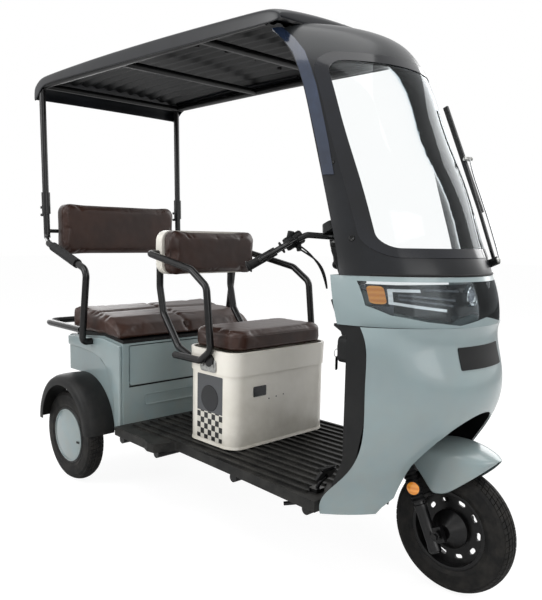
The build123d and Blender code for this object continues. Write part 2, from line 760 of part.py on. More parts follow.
# rear side rails: down from the pole, forward as an armrest, down to the body
side_rail_points = (
    (-286, pole_y, collar_low - seat_gap),
    (-282, pole_y, 1092),
    (-196, rear_rail_y, 1072),
    (144, rear_rail_y, 965),
    (98, rear_rail_y, 646),
    (98, body_half + seat_gap, 646),
)
for name, side in (("right", -1), ("left", 1)):
    with BuildPart() as side_rail:
        with BuildLine() as side_path:
            FilletPolyline(*[(fore(x), side * y, z) for x, y, z in side_rail_points],
                           radius=(30, 30, 42, 24))
        with BuildSketch(Plane(origin=side_path.line @ 0, z_dir=side_path.line % 0)):
            Circle(tube_r)
        sweep()
        lug_foot = (fore(-283), side * (rear_back_half + seat_gap), 1130)
        with BuildSketch(Plane(origin=lug_foot, x_dir=(1, 0, 0), z_dir=(0, side, 0))):
            Circle(9)
        extrude(amount=pole_y - rear_back_half)
    parts["side_rail_" + name] = side_rail.part
sleeve_start = 46
sleeve_length = 230
with BuildPart() as rear_armrests:
    for side in (-1, 1):
        rear = Vector(fore(side_rail_points[2][0]), side * rear_rail_y, side_rail_points[2][2])
        front = Vector(fore(side_rail_points[3][0]), side * rear_rail_y, side_rail_points[3][2])
        along = (front - rear).normalized()
        with BuildSketch(Plane(origin=rear + along * sleeve_start, x_dir=(0, 1, 0), z_dir=along)):
            Circle(tube_r + 6)
            Circle(tube_r + seat_gap, mode=Mode.SUBTRACT)
        extrude(amount=sleeve_length)
parts["rear_armrest_sleeves"] = rear_armrests.part

# grab bar behind the bench
grab_y = rear_rail_y - 1
grab_z = 700
rail_foot = side_rail_points[4]
rail_knee = side_rail_points[3]
rail_lean = (rail_knee[0] - rail_foot[0]) / (rail_knee[2] - rail_foot[2])
grab_root = rail_foot[0] + (grab_z - rail_foot[2]) * rail_lean - tube_r * (1 + rail_lean) - 2 * seat_gap
grab_points = ((grab_root, grab_y, grab_z), (-296, rear_rail_y - 24, 697))
with BuildPart() as grab_bar:
    with BuildLine() as grab_path:
        FilletPolyline(*[(fore(x), -y, z) for x, y, z in grab_points],
                       *[(fore(x), y, z) for x, y, z in reversed(grab_points)], radius=70)
    with BuildSketch(Plane(origin=grab_path.line @ 0, z_dir=grab_path.line % 0)):
        Circle(tube_r)
    sweep()
parts["grab_bar"] = grab_bar.part

# rear body: a hollow box stepped over the axle, open at the top and behind the hatch
body_side = ((-125, 489), (-125, 651), (181, 678), (body_front, 660), (body_front, body_low),
             (236, body_low), (64, 489))
hatch_low = 474
hatch_high = 652
hatch_half = body_half - 30
with BuildPart() as body:
    with BuildSketch(Plane.XZ) as body_plan:
        with BuildLine():
            Polyline(*[(fore(x), z) for x, z in body_side + body_side[:1]])
        make_face()
    extrude(amount=body_half, both=True)
    with BuildSketch(Plane.XZ):
        add(body_plan.sketch_local)
        offset(amount=-skin, kind=Kind.INTERSECTION, mode=Mode.REPLACE)
    extrude(amount=body_half - skin, both=True, mode=Mode.SUBTRACT)
    with BuildSketch(Plane.XY.offset(600)):
        with Locations((fore(100), 0)):
            RectangleRounded(340, 2 * body_half - 100, 30)
    extrude(amount=120, mode=Mode.SUBTRACT)
    with BuildSketch(Plane.YZ.offset(fore(body_front - 30))):
        with Locations((0, (hatch_low + hatch_high) / 2)):
            RectangleRounded(2 * hatch_half, hatch_high - hatch_low, 12)
    extrude(amount=60, mode=Mode.SUBTRACT)
parts["rear_body"] = body.part
hatch_gap = 4
with BuildPart() as hatch:
    with BuildSketch(Plane.YZ.offset(fore(body_front - 8))):
        with Locations((0, (hatch_low + hatch_high) / 2)):
            RectangleRounded(2 * (hatch_half - hatch_gap), hatch_high - hatch_low - 2 * hatch_gap, 9)
    extrude(amount=12)
    pin_foot = (fore(body_front - 2), -hatch_half + 0.5, hatch_low + 16)
    with BuildSketch(Plane(origin=pin_foot, x_dir=(1, 0, 0), z_dir=(0, 1, 0))):
        Circle(4)
    extrude(amount=2 * hatch_half - 1)
parts["rear_hatch"] = hatch.part

# bench: a base with a padded top that slopes at the front
bench_side = ((-66, 680), (-66, 786), (235, 752), (300, 722), (338, 684), (331, 674), (181, 690))
with BuildPart() as bench:
    with BuildSketch(Plane.XZ):
        with BuildLine():
            Polyline(*[(fore(x), z) for x, z in bench_side + bench_side[:1]])
        make_face()
    extrude(amount=bench_half, both=True)
    fillet(bench.edges().filter_by(Axis.Y), 6)
parts["bench_cushion"] = bench.part

# bench base plate between the body's rim and the cushion
base_side = ((-60, 657.2), (-60, 680 - seat_gap), (181, 690 - seat_gap), (329, 674 - seat_gap),
             (329, 660.5), (181, 678.4))
with BuildPart() as bench_base:
    with BuildSketch(Plane.XZ):
        with BuildLine():
            Polyline(*[(fore(x), z) for x, z in base_side + base_side[:1]])
        make_face()
    extrude(amount=body_half - 4, both=True)
parts["bench_base"] = bench_base.part

# rear backrest pad
with BuildPart() as rear_backrest:
    with BuildSketch(Plane.YZ.offset(fore(-304))):
        with Locations((0, 1141)):
            RectangleRounded(2 * rear_back_half, 240, 50)
    extrude(amount=66)
    fillet(rear_backrest.edges().group_by(Axis.X)[-1], 14)
parts["rear_backrest"] = rear_backrest.part

# rear mudguards: half rings over the wheels, joined to the body's sides
arch_x = 28
arch_z = 262
arch_r = 236
arch_out = track / 2 + 82
for name, side in (("right", -1), ("left", 1)):
    with BuildPart() as arch:
        with BuildSketch(Plane(origin=(fore(arch_x), 0, arch_z), x_dir=(0, side, 0), z_dir=(side, 0, 0))):
            with BuildLine():
                Polyline((body_half + seat_gap, arch_r - 3), (arch_out - 3, arch_r - 6),
                         (arch_out - 3, arch_r - 22), (arch_out, arch_r - 22), (arch_out, arch_r - 3),
                         (body_half + seat_gap, arch_r), (body_half + seat_gap, arch_r - 3))
            make_face()
        revolve(axis=Axis((fore(arch_x), 0, arch_z), (0, 1, 0)))
        with BuildSketch(Plane.XZ):
            with Locations((fore(arch_x), 315 + 150)):
                Rectangle(500, 300)
        extrude(amount=600, both=True, mode=Mode.INTERSECT)
    parts["mudguard_rear_" + name] = arch.part

# tail lamps on the rear corners and the plate bracket under them
with BuildPart() as tail_lamps:
    for side in (-1, 1):
        with BuildSketch(Plane.YZ.offset(fore(-125 - seat_gap))):
            with Locations((side * (body_half - 55), 622)):
                RectangleRounded(90, 46, 12)
        extrude(amount=-16)
parts["tail_lamps"] = tail_lamps.part
plate_x = -125
plate_z = 560
plate_pitch = 140
plate_hole_r = 3.5
with BuildPart() as plate_bracket:
    with BuildSketch(Plane.YZ.offset(fore(plate_x - seat_gap))):
        with Locations((0, plate_z)):
            RectangleRounded(200, 110, 8)
        with Locations((-plate_pitch / 2, plate_z + 30), (plate_pitch / 2, plate_z + 30)):
            Circle(plate_hole_r, mode=Mode.SUBTRACT)
    extrude(amount=-3)
parts["plate_bracket"] = plate_bracket.part

# driver's box, open at the top under the seat, with the battery block in it
with BuildPart() as box:
    with BuildSketch(Plane.XY.offset(box_seat_z)):
        with Locations((fore((box_rear + box_front) / 2), 0)):
            RectangleRounded(box_front - box_rear, 2 * box_half, box_corner)
    extrude(amount=box_top - box_seat_z)
    with BuildSketch(Plane.XY.offset(box_seat_z + skin)):
        with Locations((fore((box_rear + box_front) / 2), 0)):
            RectangleRounded(box_front - box_rear - 2 * skin, 2 * (box_half - skin), box_corner - skin)
    extrude(amount=box_top - box_seat_z, mode=Mode.SUBTRACT)
parts["driver_box"] = box.part
battery_h = 175
with BuildPart() as battery:
    with BuildSketch(Plane.XY.offset(box_seat_z + skin + seat_gap)):
        with Locations((fore((box_rear + box_front) / 2), 0)):
            Rectangle(190, 2 * box_half - 90)
    extrude(amount=battery_h)
parts["battery_block"] = battery.part
with BuildPart() as driver_cushion:
    with BuildSketch(Plane.XY.offset(driver_cushion_low)):
        with Locations((fore((box_rear + box_front) / 2), 0)):
            RectangleRounded(box_front - box_rear - 4, 2 * driver_cushion_half, box_corner)
    extrude(amount=driver_cushion_high - driver_cushion_low)
    fillet(driver_cushion.edges().group_by(Axis.Z)[-1], 16)
parts["driver_cushion"] = driver_cushion.part

# driver's backrest: shell, pad and the two stays that carry it from behind the box
with BuildPart() as back_shell:
    with BuildSketch(Plane.YZ.offset(fore(back_shell_rear + seat_gap))):
        with Locations((0, (back_low + back_high) / 2)):
            RectangleRounded(2 * back_half, back_high - back_low, 46)
    extrude(amount=back_shell_front - back_shell_rear)
    fillet(back_shell.edges().group_by(Axis.X)[0], 18)
parts["back_shell"] = back_shell.part
with BuildPart() as back_pad:
    with BuildSketch(Plane.YZ.offset(fore(back_shell_front + 2 * seat_gap))):
        with Locations((0, (back_low + back_high) / 2)):
            RectangleRounded(2 * back_half - 8, back_high - back_low - 8, 42)
    extrude(amount=back_pad_front - back_shell_front)
    fillet(back_pad.edges().group_by(Axis.X)[-1], 16)
parts["back_pad"] = back_pad.part
stay_y = 200
stay_x = back_shell_rear - tube_r
with BuildPart() as stays:
    for side in (-1, 1):
        with BuildLine() as stay_path:
            FilletPolyline((fore(stay_x), side * stay_y, 1080), (fore(stay_x), side * stay_y, 900),
                           (fore(400), side * stay_y, 790), (fore(510), side * stay_y, 655),
                           (fore(box_rear - 3), side * stay_y, 610), radius=50)
        with BuildSketch(Plane(origin=stay_path.line @ 0, z_dir=stay_path.line % 0)):
            Circle(tube_r)
        sweep()
    add(box.part, mode=Mode.SUBTRACT)
parts["backrest_stays"] = stays.part

# driver's armrests: forward from the shell, down beside the box and back to its rear corner
arm_points = ((418, arm_y, 1044), (698, arm_y, 991), (792, arm_y, 931), (820, arm_y, 690),
              (760, arm_y, 645), (596, arm_y, 645))
for name, side in (("right", -1), ("left", 1)):
    with BuildPart() as armrest:
        with BuildLine() as arm_path:
            FilletPolyline((fore(arm_points[0][0]), side * (back_half + seat_gap), arm_points[0][2]),
                           *[(fore(x), side * y, z) for x, y, z in arm_points], radius=(18, 60, 40, 30, 24))
        with BuildSketch(Plane(origin=arm_path.line @ 0, z_dir=arm_path.line % 0)):
            Circle(tube_r - 1)
        sweep()
        disc_foot = (fore(800), side * (box_half + seat_gap), 650)
        with BuildSketch(Plane(origin=disc_foot, x_dir=(1, 0, 0), z_dir=(0, side, 0))):
            Circle(24)
        extrude(amount=arm_gap - 6)
    parts["armrest_" + name] = armrest.part

# brake pedal on the floor beside the column
pedal_y = -300
with BuildPart() as pedal:
    with BuildLine() as pedal_path:
        FilletPolyline((fore(1380), pedal_y, deck_top + 9), (fore(1395), pedal_y, 345),
                       (fore(1420), pedal_y, 372), radius=14)
    with BuildSketch(Plane(origin=pedal_path.line @ 0, z_dir=pedal_path.line % 0)):
        Circle(6)
    sweep()
    with BuildSketch(Plane(origin=(fore(1418), pedal_y, 374), x_dir=(0, 1, 0), z_dir=(-1, 0, 0.7))):
        RectangleRounded(76, 44, 8)
    extrude(amount=8)
    with BuildSketch(Plane.XY.offset(deck_top + seat_gap)):
        with Locations((fore(1380), pedal_y)):
            RectangleRounded(36, 40, 6)
    extrude(amount=12)
    add(deck.part, mode=Mode.SUBTRACT)
    add(shield.part, mode=Mode.SUBTRACT)
parts["brake_pedal"] = pedal.part

os.makedirs("parts", exist_ok=True)
for name, piece in parts.items():
    piece.label = name
    export_step(piece, "parts/" + name + ".step")
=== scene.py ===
# %% [markdown]
# # A three-wheeled passenger moped, dressed in Blender
#
# The object is a light electric three-wheeler: one steered wheel in front, two wheels behind, a driver's seat
# on a white box, a padded bench, and a roof that grows out of a wrapped windscreen frame. Its construction is a
# finished CAD model, and this lesson loads it as a fixed frame. What the frame already has at the right shape
# keeps that shape and gets a finish. What a CAD solid can't say, such as the crown of a cushion, the soft line
# of a moulded shell or the tread of a tyre, is modelled here around it.

# %% The frame
import bmesh
import bpy
import json
import math
from mathutils import Matrix, Vector, noise
from mathutils.bvhtree import BVHTree


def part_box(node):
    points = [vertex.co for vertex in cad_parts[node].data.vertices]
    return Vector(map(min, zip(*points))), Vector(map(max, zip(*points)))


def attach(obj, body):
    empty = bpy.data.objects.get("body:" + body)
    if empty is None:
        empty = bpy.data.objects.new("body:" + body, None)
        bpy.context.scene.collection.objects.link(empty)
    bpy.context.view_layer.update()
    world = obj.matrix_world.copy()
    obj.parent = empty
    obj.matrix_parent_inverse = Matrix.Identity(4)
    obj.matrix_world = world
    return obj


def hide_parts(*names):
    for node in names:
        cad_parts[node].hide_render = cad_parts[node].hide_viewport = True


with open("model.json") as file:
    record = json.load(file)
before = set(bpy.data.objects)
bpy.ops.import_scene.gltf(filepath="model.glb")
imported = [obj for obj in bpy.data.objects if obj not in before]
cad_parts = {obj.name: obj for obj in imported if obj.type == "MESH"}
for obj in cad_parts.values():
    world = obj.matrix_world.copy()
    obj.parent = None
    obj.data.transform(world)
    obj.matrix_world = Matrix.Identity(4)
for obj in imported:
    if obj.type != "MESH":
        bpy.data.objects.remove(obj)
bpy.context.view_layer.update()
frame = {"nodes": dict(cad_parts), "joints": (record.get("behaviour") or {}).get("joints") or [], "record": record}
nodes = frame["nodes"]

# %% [markdown]
# ## Where things are
#
# The photograph was measured from the rear axle, so places are given as distances ahead of it, in metres. The
# frame's origin is the middle of the whole box on the ground. One function turns the first into the second, and
# another steps into the leaning frame of the steering axis.

# %% Places
REAR_AXLE_X = (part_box("rim_rear_left")[0].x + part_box("rim_rear_left")[1].x) / 2
WHEEL_Z = (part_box("tyre_front")[0].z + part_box("tyre_front")[1].z) / 2
TYRE_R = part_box("tyre_front")[1].z - WHEEL_Z
WHEELBASE = (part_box("rim_front")[0].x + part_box("rim_front")[1].x) / 2 - REAR_AXLE_X
MM = 0.001


def fore(distance):
    return REAR_AXLE_X + distance


joints = {joint["name"]: joint for joint in frame["joints"]}
STEER_FOOT = Vector(joints["steering_turn"]["pos_m"])
STEER_UP = Vector(joints["steering_turn"]["axis"]).normalized()
STEER_AHEAD = Vector((0, 1, 0)).cross(STEER_UP)


def steered(ahead, left, up):
    """A place measured from the steering axis: ahead of it, to its left, and up along it."""
    return STEER_FOOT + STEER_AHEAD * ahead + Vector((0, left, 0)) + STEER_UP * up


print("wheelbase", round(WHEELBASE, 3), "tyre radius", round(TYRE_R, 3))

# %% [markdown]
# ## Camera
#
# The camera stands where the photographer stood: to the right of the vehicle's nose, a little above the seats.
# Its place, its two angles and its small roll were found by matching known points of the object. The lens is
# an ordinary one, and the shift is what the photograph's crop needs.

# %% Camera
IMAGE_W, IMAGE_H = 542, 600
CAMERA_PLACE = Vector((fore(2.7491), -1.8829, 1.1199))
CAMERA_TURN, CAMERA_DOWN, CAMERA_ROLL = (math.radians(v) for v in (46.289, 7.282, 1.029))
FOCAL_PIXELS = 672.6
PRINCIPAL_POINT = (258.4, 322.8)
SENSOR_MM = 36

look = Vector((-math.sin(CAMERA_TURN) * math.cos(CAMERA_DOWN), math.cos(CAMERA_TURN) * math.cos(CAMERA_DOWN),
               -math.sin(CAMERA_DOWN)))
level = Vector((math.cos(CAMERA_TURN), math.sin(CAMERA_TURN), 0))
upright = level.cross(look)
right = level * math.cos(CAMERA_ROLL) + upright * math.sin(CAMERA_ROLL)
up = upright * math.cos(CAMERA_ROLL) - level * math.sin(CAMERA_ROLL)
camera = bpy.data.objects.new("camera", bpy.data.cameras.new("camera"))
camera.matrix_world = Matrix((right, up, -look)).transposed().to_4x4()
camera.location = CAMERA_PLACE
camera.data.sensor_width = SENSOR_MM
camera.data.lens = FOCAL_PIXELS * SENSOR_MM / IMAGE_H
camera.data.shift_x = (IMAGE_W / 2 - PRINCIPAL_POINT[0]) / IMAGE_H
camera.data.shift_y = (PRINCIPAL_POINT[1] - IMAGE_H / 2) / IMAGE_H
bpy.context.collection.objects.link(camera)
bpy.context.scene.camera = camera
bpy.context.scene.view_settings.view_transform = "Standard"
print("camera lens", round(camera.data.lens, 2), "mm")

# %% [markdown]
# ## Building materials
#
# Every finish is a small network of nodes. One function adds a node with its settings and its inputs, whether an
# input is a number or a link. Colours are written as sRGB hex, as a colour card gives them, and one function
# turns them into the linear values that the shader wants.

# %% Material helpers


def colour(text, alpha=1.0):
    parts = [int(text[i:i + 2], 16) / 255 for i in (1, 3, 5)]
    return (*[c / 12.92 if c <= 0.04045 else ((c + 0.055) / 1.055) ** 2.4 for c in parts], alpha)


def add(tree, kind, inputs=None, **settings):
    made = tree.nodes.new("ShaderNode" + kind)
    for name, value in settings.items():
        setattr(made, name, value)
    for name, value in (inputs or {}).items():
        if isinstance(value, bpy.types.NodeSocket):
            tree.links.new(value, made.inputs[name])
        else:
            made.inputs[name].default_value = value
    return made


def material(name):
    """A new material with its tree, its shader and Object coordinates ready to use."""
    made = bpy.data.materials.new(name)
    made.use_nodes = True
    tree = made.node_tree
    place = add(tree, "TexCoord").outputs["Object"]
    return made, tree, tree.nodes["Principled BSDF"], place


def finish(tree, shader, tint, normal=None, rough=None, **values):
    """Links a colour, a normal and a roughness pattern to the shader and sets its plain numbers."""
    tree.links.new(tint, shader.inputs["Base Color"])
    if normal:
        tree.links.new(normal, shader.inputs["Normal"])
    if isinstance(rough, bpy.types.NodeSocket):
        tree.links.new(rough, shader.inputs["Roughness"])
    elif rough is not None:
        shader.inputs["Roughness"].default_value = rough
    for name, value in values.items():
        shader.inputs[name.replace("_", " ")].default_value = value


def clouds(tree, place, size, low, high, start=0.35, stop=0.65, detail=3.0):
    """Noise whose blobs are size metres across, spread between two hex colours."""
    noise_map = add(tree, "TexNoise", {"Vector": place, "Scale": 1 / size, "Detail": detail, "Roughness": 0.6})
    spread = add(tree, "MapRange", {0: noise_map.outputs["Fac"], 1: start, 2: stop}).outputs[0]
    return add(tree, "Mix", {0: spread, 6: colour(low), 7: colour(high)}, data_type="RGBA").outputs[2]


def dusted(tree, place, under, dust, low, high, amount):
    """A colour with road dust over it, thicker towards the ground and broken into clouds."""
    height = add(tree, "SeparateXYZ", {0: place}).outputs["Z"]
    near_ground = add(tree, "MapRange", {0: height, 1: low, 2: high, 3: amount, 4: amount * 0.12}).outputs[0]
    patches = add(tree, "TexNoise", {"Vector": place, "Scale": 14.0, "Detail": 6.0,
                                     "Roughness": 0.65}).outputs["Fac"]
    sharper = add(tree, "MapRange", {0: patches, 1: 0.35, 2: 0.7}).outputs[0]
    share = add(tree, "Math", {0: near_ground, 1: sharper}, operation="MULTIPLY").outputs[0]
    return add(tree, "Mix", {0: share, 6: under, 7: colour(dust)}, data_type="RGBA").outputs[2]


def pebbles(tree, place, size, depth, strength):
    """The relief of a moulded or coated surface, from cells of this size in metres."""
    cells = add(tree, "TexVoronoi", {"Vector": place, "Scale": 1 / size}, feature="SMOOTH_F1").outputs["Distance"]
    return add(tree, "Bump", {"Height": cells, "Distance": depth, "Strength": strength}).outputs["Normal"]


def waves(tree, place, size, depth, strength):
    """The faint waviness of sprayed paint or a moulded skin."""
    swell = add(tree, "TexNoise", {"Vector": place, "Scale": 1 / size, "Detail": 2.0}).outputs["Fac"]
    return add(tree, "Bump", {"Height": swell, "Distance": depth, "Strength": strength}).outputs["Normal"]


# %% [markdown]
# ## Painted and moulded finishes
#
# The body is ABS under a pale blue-grey lacquer: a soft, wide highlight under a clear coat, with the faint
# waviness that sprayed paint has, and dust where the road throws it up. The frame is steel tube in black powder
# coat, whose fine pebble breaks its highlights. The inner panels and the roof are black moulded plastic with a
# leathery grain. Each colour was first read from the photograph and then judged in the render.

# %% Painted and moulded finishes
# blue-grey lacquer on ABS: a broad soft shine, slightly uneven, with a thin clear coat
body_paint, tree, shader, place = material("blue-grey lacquer on ABS")
tint = dusted(tree, place, clouds(tree, place, 0.3, "#87979a", "#90a1a3"), "#9b968a", 0.2, 0.9, 0.35)
finish(tree, shader, tint, waves(tree, place, 0.02, 0.0003, 0.15), 0.3, IOR=1.5, Coat_Weight=0.5,
       Coat_Roughness=0.08)

# black powder coat on steel: a fine pebble that blurs the highlight, paler where it is rubbed
powder_coat, tree, shader, place = material("black powder coat on steel tube")
tint = clouds(tree, place, 0.03, "#0b0b0c", "#1e1d1c", 0.55, 0.75, 4.0)
finish(tree, shader, tint, pebbles(tree, place, 0.0022, 0.0002, 0.3), 0.3, IOR=1.5, Specular_IOR_Level=0.3,
       Coat_Weight=0.12, Coat_Roughness=0.15)

# black polypropylene: a matt leathery grain, faded in places
black_plastic, tree, shader, place = material("black moulded polypropylene")
tint = dusted(tree, place, clouds(tree, place, 0.12, "#0d0e0f", "#161718"), "#3a3834", 0.2, 0.8, 0.35)
finish(tree, shader, tint, pebbles(tree, place, 0.0025, 0.0003, 0.3), 0.48, IOR=1.5,
       Specular_IOR_Level=0.22)

# the windscreen's frame: the same plastic with a satin skin, greyer above the window
screen_plastic, tree, shader, place = material("satin black ABS, painted")
height = add(tree, "SeparateXYZ", {0: place}).outputs["Z"]
above = add(tree, "MapRange", {0: height, 1: 1.655, 2: 1.70}).outputs[0]
low_tint = clouds(tree, place, 0.15, "#0d0f12", "#16181c")
tint = add(tree, "Mix", {0: above, 6: low_tint, 7: colour("#242628")}, data_type="RGBA").outputs[2]
finish(tree, shader, tint, pebbles(tree, place, 0.002, 0.0002, 0.15), 0.33, IOR=1.5,
       Specular_IOR_Level=0.25, Coat_Weight=0.12, Coat_Roughness=0.15)

# glossy black trim: a hard, nearly mirror-smooth skin with a touch of blue
gloss_black, tree, shader, place = material("black gloss trim, moulded ABS")
tint = clouds(tree, place, 0.2, "#090b0f", "#12151c")
finish(tree, shader, tint, waves(tree, place, 0.03, 0.0002, 0.12), 0.14, IOR=1.5, Specular_IOR_Level=0.35,
       Coat_Weight=0.15, Coat_Roughness=0.04)

# the strip along each pillar: black gloss whose blue tint is a painted reflection of the sky
pillar_gloss, tree, shader, place = material("blue-black gloss strip, painted ABS")
tint = clouds(tree, place, 0.15, "#151c2a", "#2b3850", 0.3, 0.7)
finish(tree, shader, tint, waves(tree, place, 0.03, 0.0002, 0.12), 0.16, IOR=1.5, Coat_Weight=0.4,
       Coat_Roughness=0.05)

# the roof: satin black moulding, whose long highlights show that it is smooth
roof_plastic, tree, shader, place = material("satin black roof moulding")
tint = clouds(tree, place, 0.2, "#0f1114", "#1a1c21")
finish(tree, shader, tint, pebbles(tree, place, 0.003, 0.0002, 0.15), 0.3, IOR=1.5, Specular_IOR_Level=0.4)

# floor moulding: dark grey polypropylene with shoe dust, scuffed on its ribs
floor_plastic, tree, shader, place = material("ribbed floor moulding, dusty polypropylene")
dust = clouds(tree, place, 0.07, "#141413", "#33322f", 0.42, 0.8, 6.0)
scuffs = add(tree, "TexNoise", {"Vector": place, "Scale": 160.0, "Detail": 5.0, "Roughness": 0.7}).outputs["Fac"]
scuffed = add(tree, "MapRange", {0: scuffs, 1: 0.6, 2: 0.75, 4: 0.35}).outputs[0]
tint = add(tree, "Mix", {0: scuffed, 6: dust, 7: colour("#4d4b46")}, data_type="RGBA").outputs[2]
finish(tree, shader, tint, pebbles(tree, place, 0.004, 0.0005, 0.4), 0.5, IOR=1.5,
       Specular_IOR_Level=0.25)

# the seat box: cream lacquer on plastic, a little yellow, dusty near the floor
white_shell, tree, shader, place = material("cream lacquer on the seat box")
tint = dusted(tree, place, clouds(tree, place, 0.2, "#eeeade", "#f5f1e7"), "#bdb5a4", 0.31, 0.62, 0.4)
finish(tree, shader, tint, waves(tree, place, 0.03, 0.0003, 0.2), 0.3, IOR=1.5, Coat_Weight=0.35,
       Coat_Roughness=0.12)

# the strip on the box's side: grey film, a chequered field below, in squares of 22 mm
strip_film, tree, shader, place = material("printed vinyl film")
CHECK_MM = 22
squares = add(tree, "TexChecker", {"Vector": place, "Scale": 1000 / CHECK_MM, "Color1": colour("#d9d6cc"),
                                   "Color2": colour("#1b1b1b")}).outputs["Color"]
height = add(tree, "SeparateXYZ", {0: place}).outputs["Z"]
field = add(tree, "Math", {0: height, 1: 0.445}, operation="LESS_THAN").outputs[0]
tint = add(tree, "Mix", {0: field, 6: colour("#4b4d50"), 7: squares}, data_type="RGBA").outputs[2]
finish(tree, shader, tint, waves(tree, place, 0.01, 0.0001, 0.1), 0.35, IOR=1.5)
print("painted and moulded finishes made")

# %% [markdown]
# ## Leather, rubber and metal
#
# The seats are dark brown coated leather cloth: small pebbles a couple of millimetres across, a low sheen, and a
# slightly paler tone where it is rubbed. Tyres are nearly black with brownish dust on the tread. Bare metal is
# either zinc-plated steel, cast alloy or bright chrome.

# %% Leather, rubber and metal
# coated leather cloth: pebbled, soft highlights, redder where it is rubbed
leather, tree, shader, place = material("dark brown coated leather cloth")
tint = clouds(tree, place, 0.14, "#2a1812", "#3a231a", 0.35, 0.7)
cells = add(tree, "TexVoronoi", {"Vector": place, "Scale": 290.0}, feature="SMOOTH_F1").outputs["Distance"]
creases = add(tree, "TexNoise", {"Vector": place, "Scale": 26.0, "Detail": 4.0}).outputs["Fac"]
height = add(tree, "Math", {0: creases, 1: 0.8, 2: cells}, operation="MULTIPLY_ADD").outputs[0]
normal = add(tree, "Bump", {"Height": height, "Distance": 0.0007, "Strength": 0.25}).outputs["Normal"]
finish(tree, shader, tint, normal, 0.4, IOR=1.5, Specular_IOR_Level=0.4)

# sewing thread: matt, twisted, lighter than the leather
thread, tree, shader, place = material("waxed brown sewing thread")
twist = add(tree, "TexWave", {"Vector": place, "Scale": 120.0}, bands_direction="DIAGONAL").outputs["Fac"]
tint = add(tree, "Mix", {0: twist, 6: colour("#2b1f19"), 7: colour("#57453a")}, data_type="RGBA").outputs[2]
finish(tree, shader, tint, None, 0.7)

# tyre rubber: matt and nearly black, with grey road dust in its hollows
tyre_rubber, tree, shader, place = material("tyre rubber, dusty from the road")
tint = clouds(tree, place, 0.04, "#0d0d0d", "#2b2926", 0.4, 0.78, 6.0)
finish(tree, shader, tint, waves(tree, place, 0.004, 0.0005, 0.4), 0.62, IOR=1.52,
       Specular_IOR_Level=0.2)

# soft rubber: grips, sleeves and boots
soft_rubber, tree, shader, place = material("soft black rubber, moulded")
tint = clouds(tree, place, 0.02, "#0c0c0d", "#161617")
finish(tree, shader, tint, pebbles(tree, place, 0.0018, 0.0003, 0.3), 0.55, Specular_IOR_Level=0.25)

# rims: black enamel on pressed steel, with brake dust
rim_enamel, tree, shader, place = material("black enamel on pressed steel")
tint = clouds(tree, place, 0.05, "#0b0b0c", "#201f1d", 0.5, 0.8, 5.0)
finish(tree, shader, tint, waves(tree, place, 0.01, 0.0002, 0.2), 0.32, IOR=1.5,
       Specular_IOR_Level=0.3)


def make_metal(name, low, high, rough, blob):
    made, tree, shader, place = material(name)
    wear = add(tree, "TexNoise", {"Vector": place, "Scale": 1 / blob, "Detail": 3.0}).outputs["Fac"]
    spread = add(tree, "MapRange", {0: wear, 3: rough * 0.7, 4: rough * 1.3}).outputs[0]
    finish(tree, shader, clouds(tree, place, blob, low, high), None, spread, Metallic=1.0)
    return made


# zinc plate dulls to a soft grey; cast alloy is darker and rougher; chrome is a mirror
zinc = make_metal("zinc-plated steel", "#8f908e", "#b3b3b0", 0.34, 0.01)
cast_alloy = make_metal("cast alloy", "#5f6062", "#7c7d80", 0.5, 0.006)
chrome = make_metal("bright chrome plate", "#cfd2d5", "#e6e7e8", 0.1, 0.05)
print("leather, rubber and metal made")

# %% [markdown]
# ## Clear and coloured plastics
#
# The windscreen and the lamp cover are clear sheets: light passes straight through a thin sheet, so a mix of a
# transparent and a glossy shader, led by the Fresnel factor, looks right and costs little. Lamp lenses are
# coloured acrylic with a weak emission in their paler colour: a painted glow that brightens them, though no lamp is
# lit.

# %% Clear and coloured plastics


def make_clear(name, tint, haze, rough, skin_tint):
    """A thin clear sheet: mostly transparent, with a mirror-like skin that grows towards its edges."""
    made, tree, shader, place = material(name)
    tree.nodes.remove(shader)
    through = add(tree, "BsdfTransparent", {"Color": colour(tint)}).outputs[0]
    skin = add(tree, "BsdfGlossy", {"Color": colour(skin_tint), "Roughness": rough}).outputs[0]
    film = add(tree, "BsdfDiffuse", {"Color": colour("#c9cfd1")}).outputs[0]
    edge_share = add(tree, "Fresnel", {"IOR": 1.22}).outputs[0]
    streaks = add(tree, "TexNoise", {"Vector": place, "Scale": 7.0, "Detail": 5.0, "Roughness": 0.7}).outputs["Fac"]
    smear = add(tree, "MapRange", {0: streaks, 1: 0.35, 2: 0.8, 3: haze * 0.3, 4: haze}).outputs[0]
    smeared = add(tree, "MixShader", {0: smear, 1: through, 2: film}).outputs[0]
    glazed = add(tree, "MixShader", {0: edge_share, 1: smeared, 2: skin}).outputs[0]
    tree.links.new(glazed, tree.nodes["Material Output"].inputs["Surface"])
    return made


def make_lens(name, low, high, glow):
    """Ribbed coloured acrylic, a rib every 8 mm, with a weak emission in its paler colour as a painted glow."""
    made, tree, shader, place = material(name)
    ribs = add(tree, "TexWave", {"Vector": place, "Scale": 20.0}, bands_direction="Z").outputs["Fac"]
    tint = add(tree, "Mix", {0: ribs, 6: colour(low), 7: colour(high)}, data_type="RGBA").outputs[2]
    normal = add(tree, "Bump", {"Height": ribs, "Distance": 0.0008, "Strength": 0.4}).outputs["Normal"]
    # the emission paints a glow on the lens, though no lamp lights it
    finish(tree, shader, tint, normal, 0.15, IOR=1.49, Coat_Weight=0.6, Coat_Roughness=0.04,
           Emission_Color=colour(high), Emission_Strength=glow)
    return made


screen_glass = make_clear("clear windscreen sheet", "#fdfefe", 0.015, 0.02, "#f2f6f8")
lamp_cover = make_clear("clear polycarbonate lamp cover", "#f2f5f6", 0.06, 0.03, "#8d9194")
# these lenses all carry the painted glow, the fork's reflectors too, which are no lamps
amber_lens = make_lens("amber acrylic", "#d97a1e", "#f2a243", 0.2)
red_lens = make_lens("red acrylic", "#8c1510", "#c02a1c", 0.05)
white_strip = make_lens("white light guide", "#dfe3e6", "#f4f6f8", 0.25)

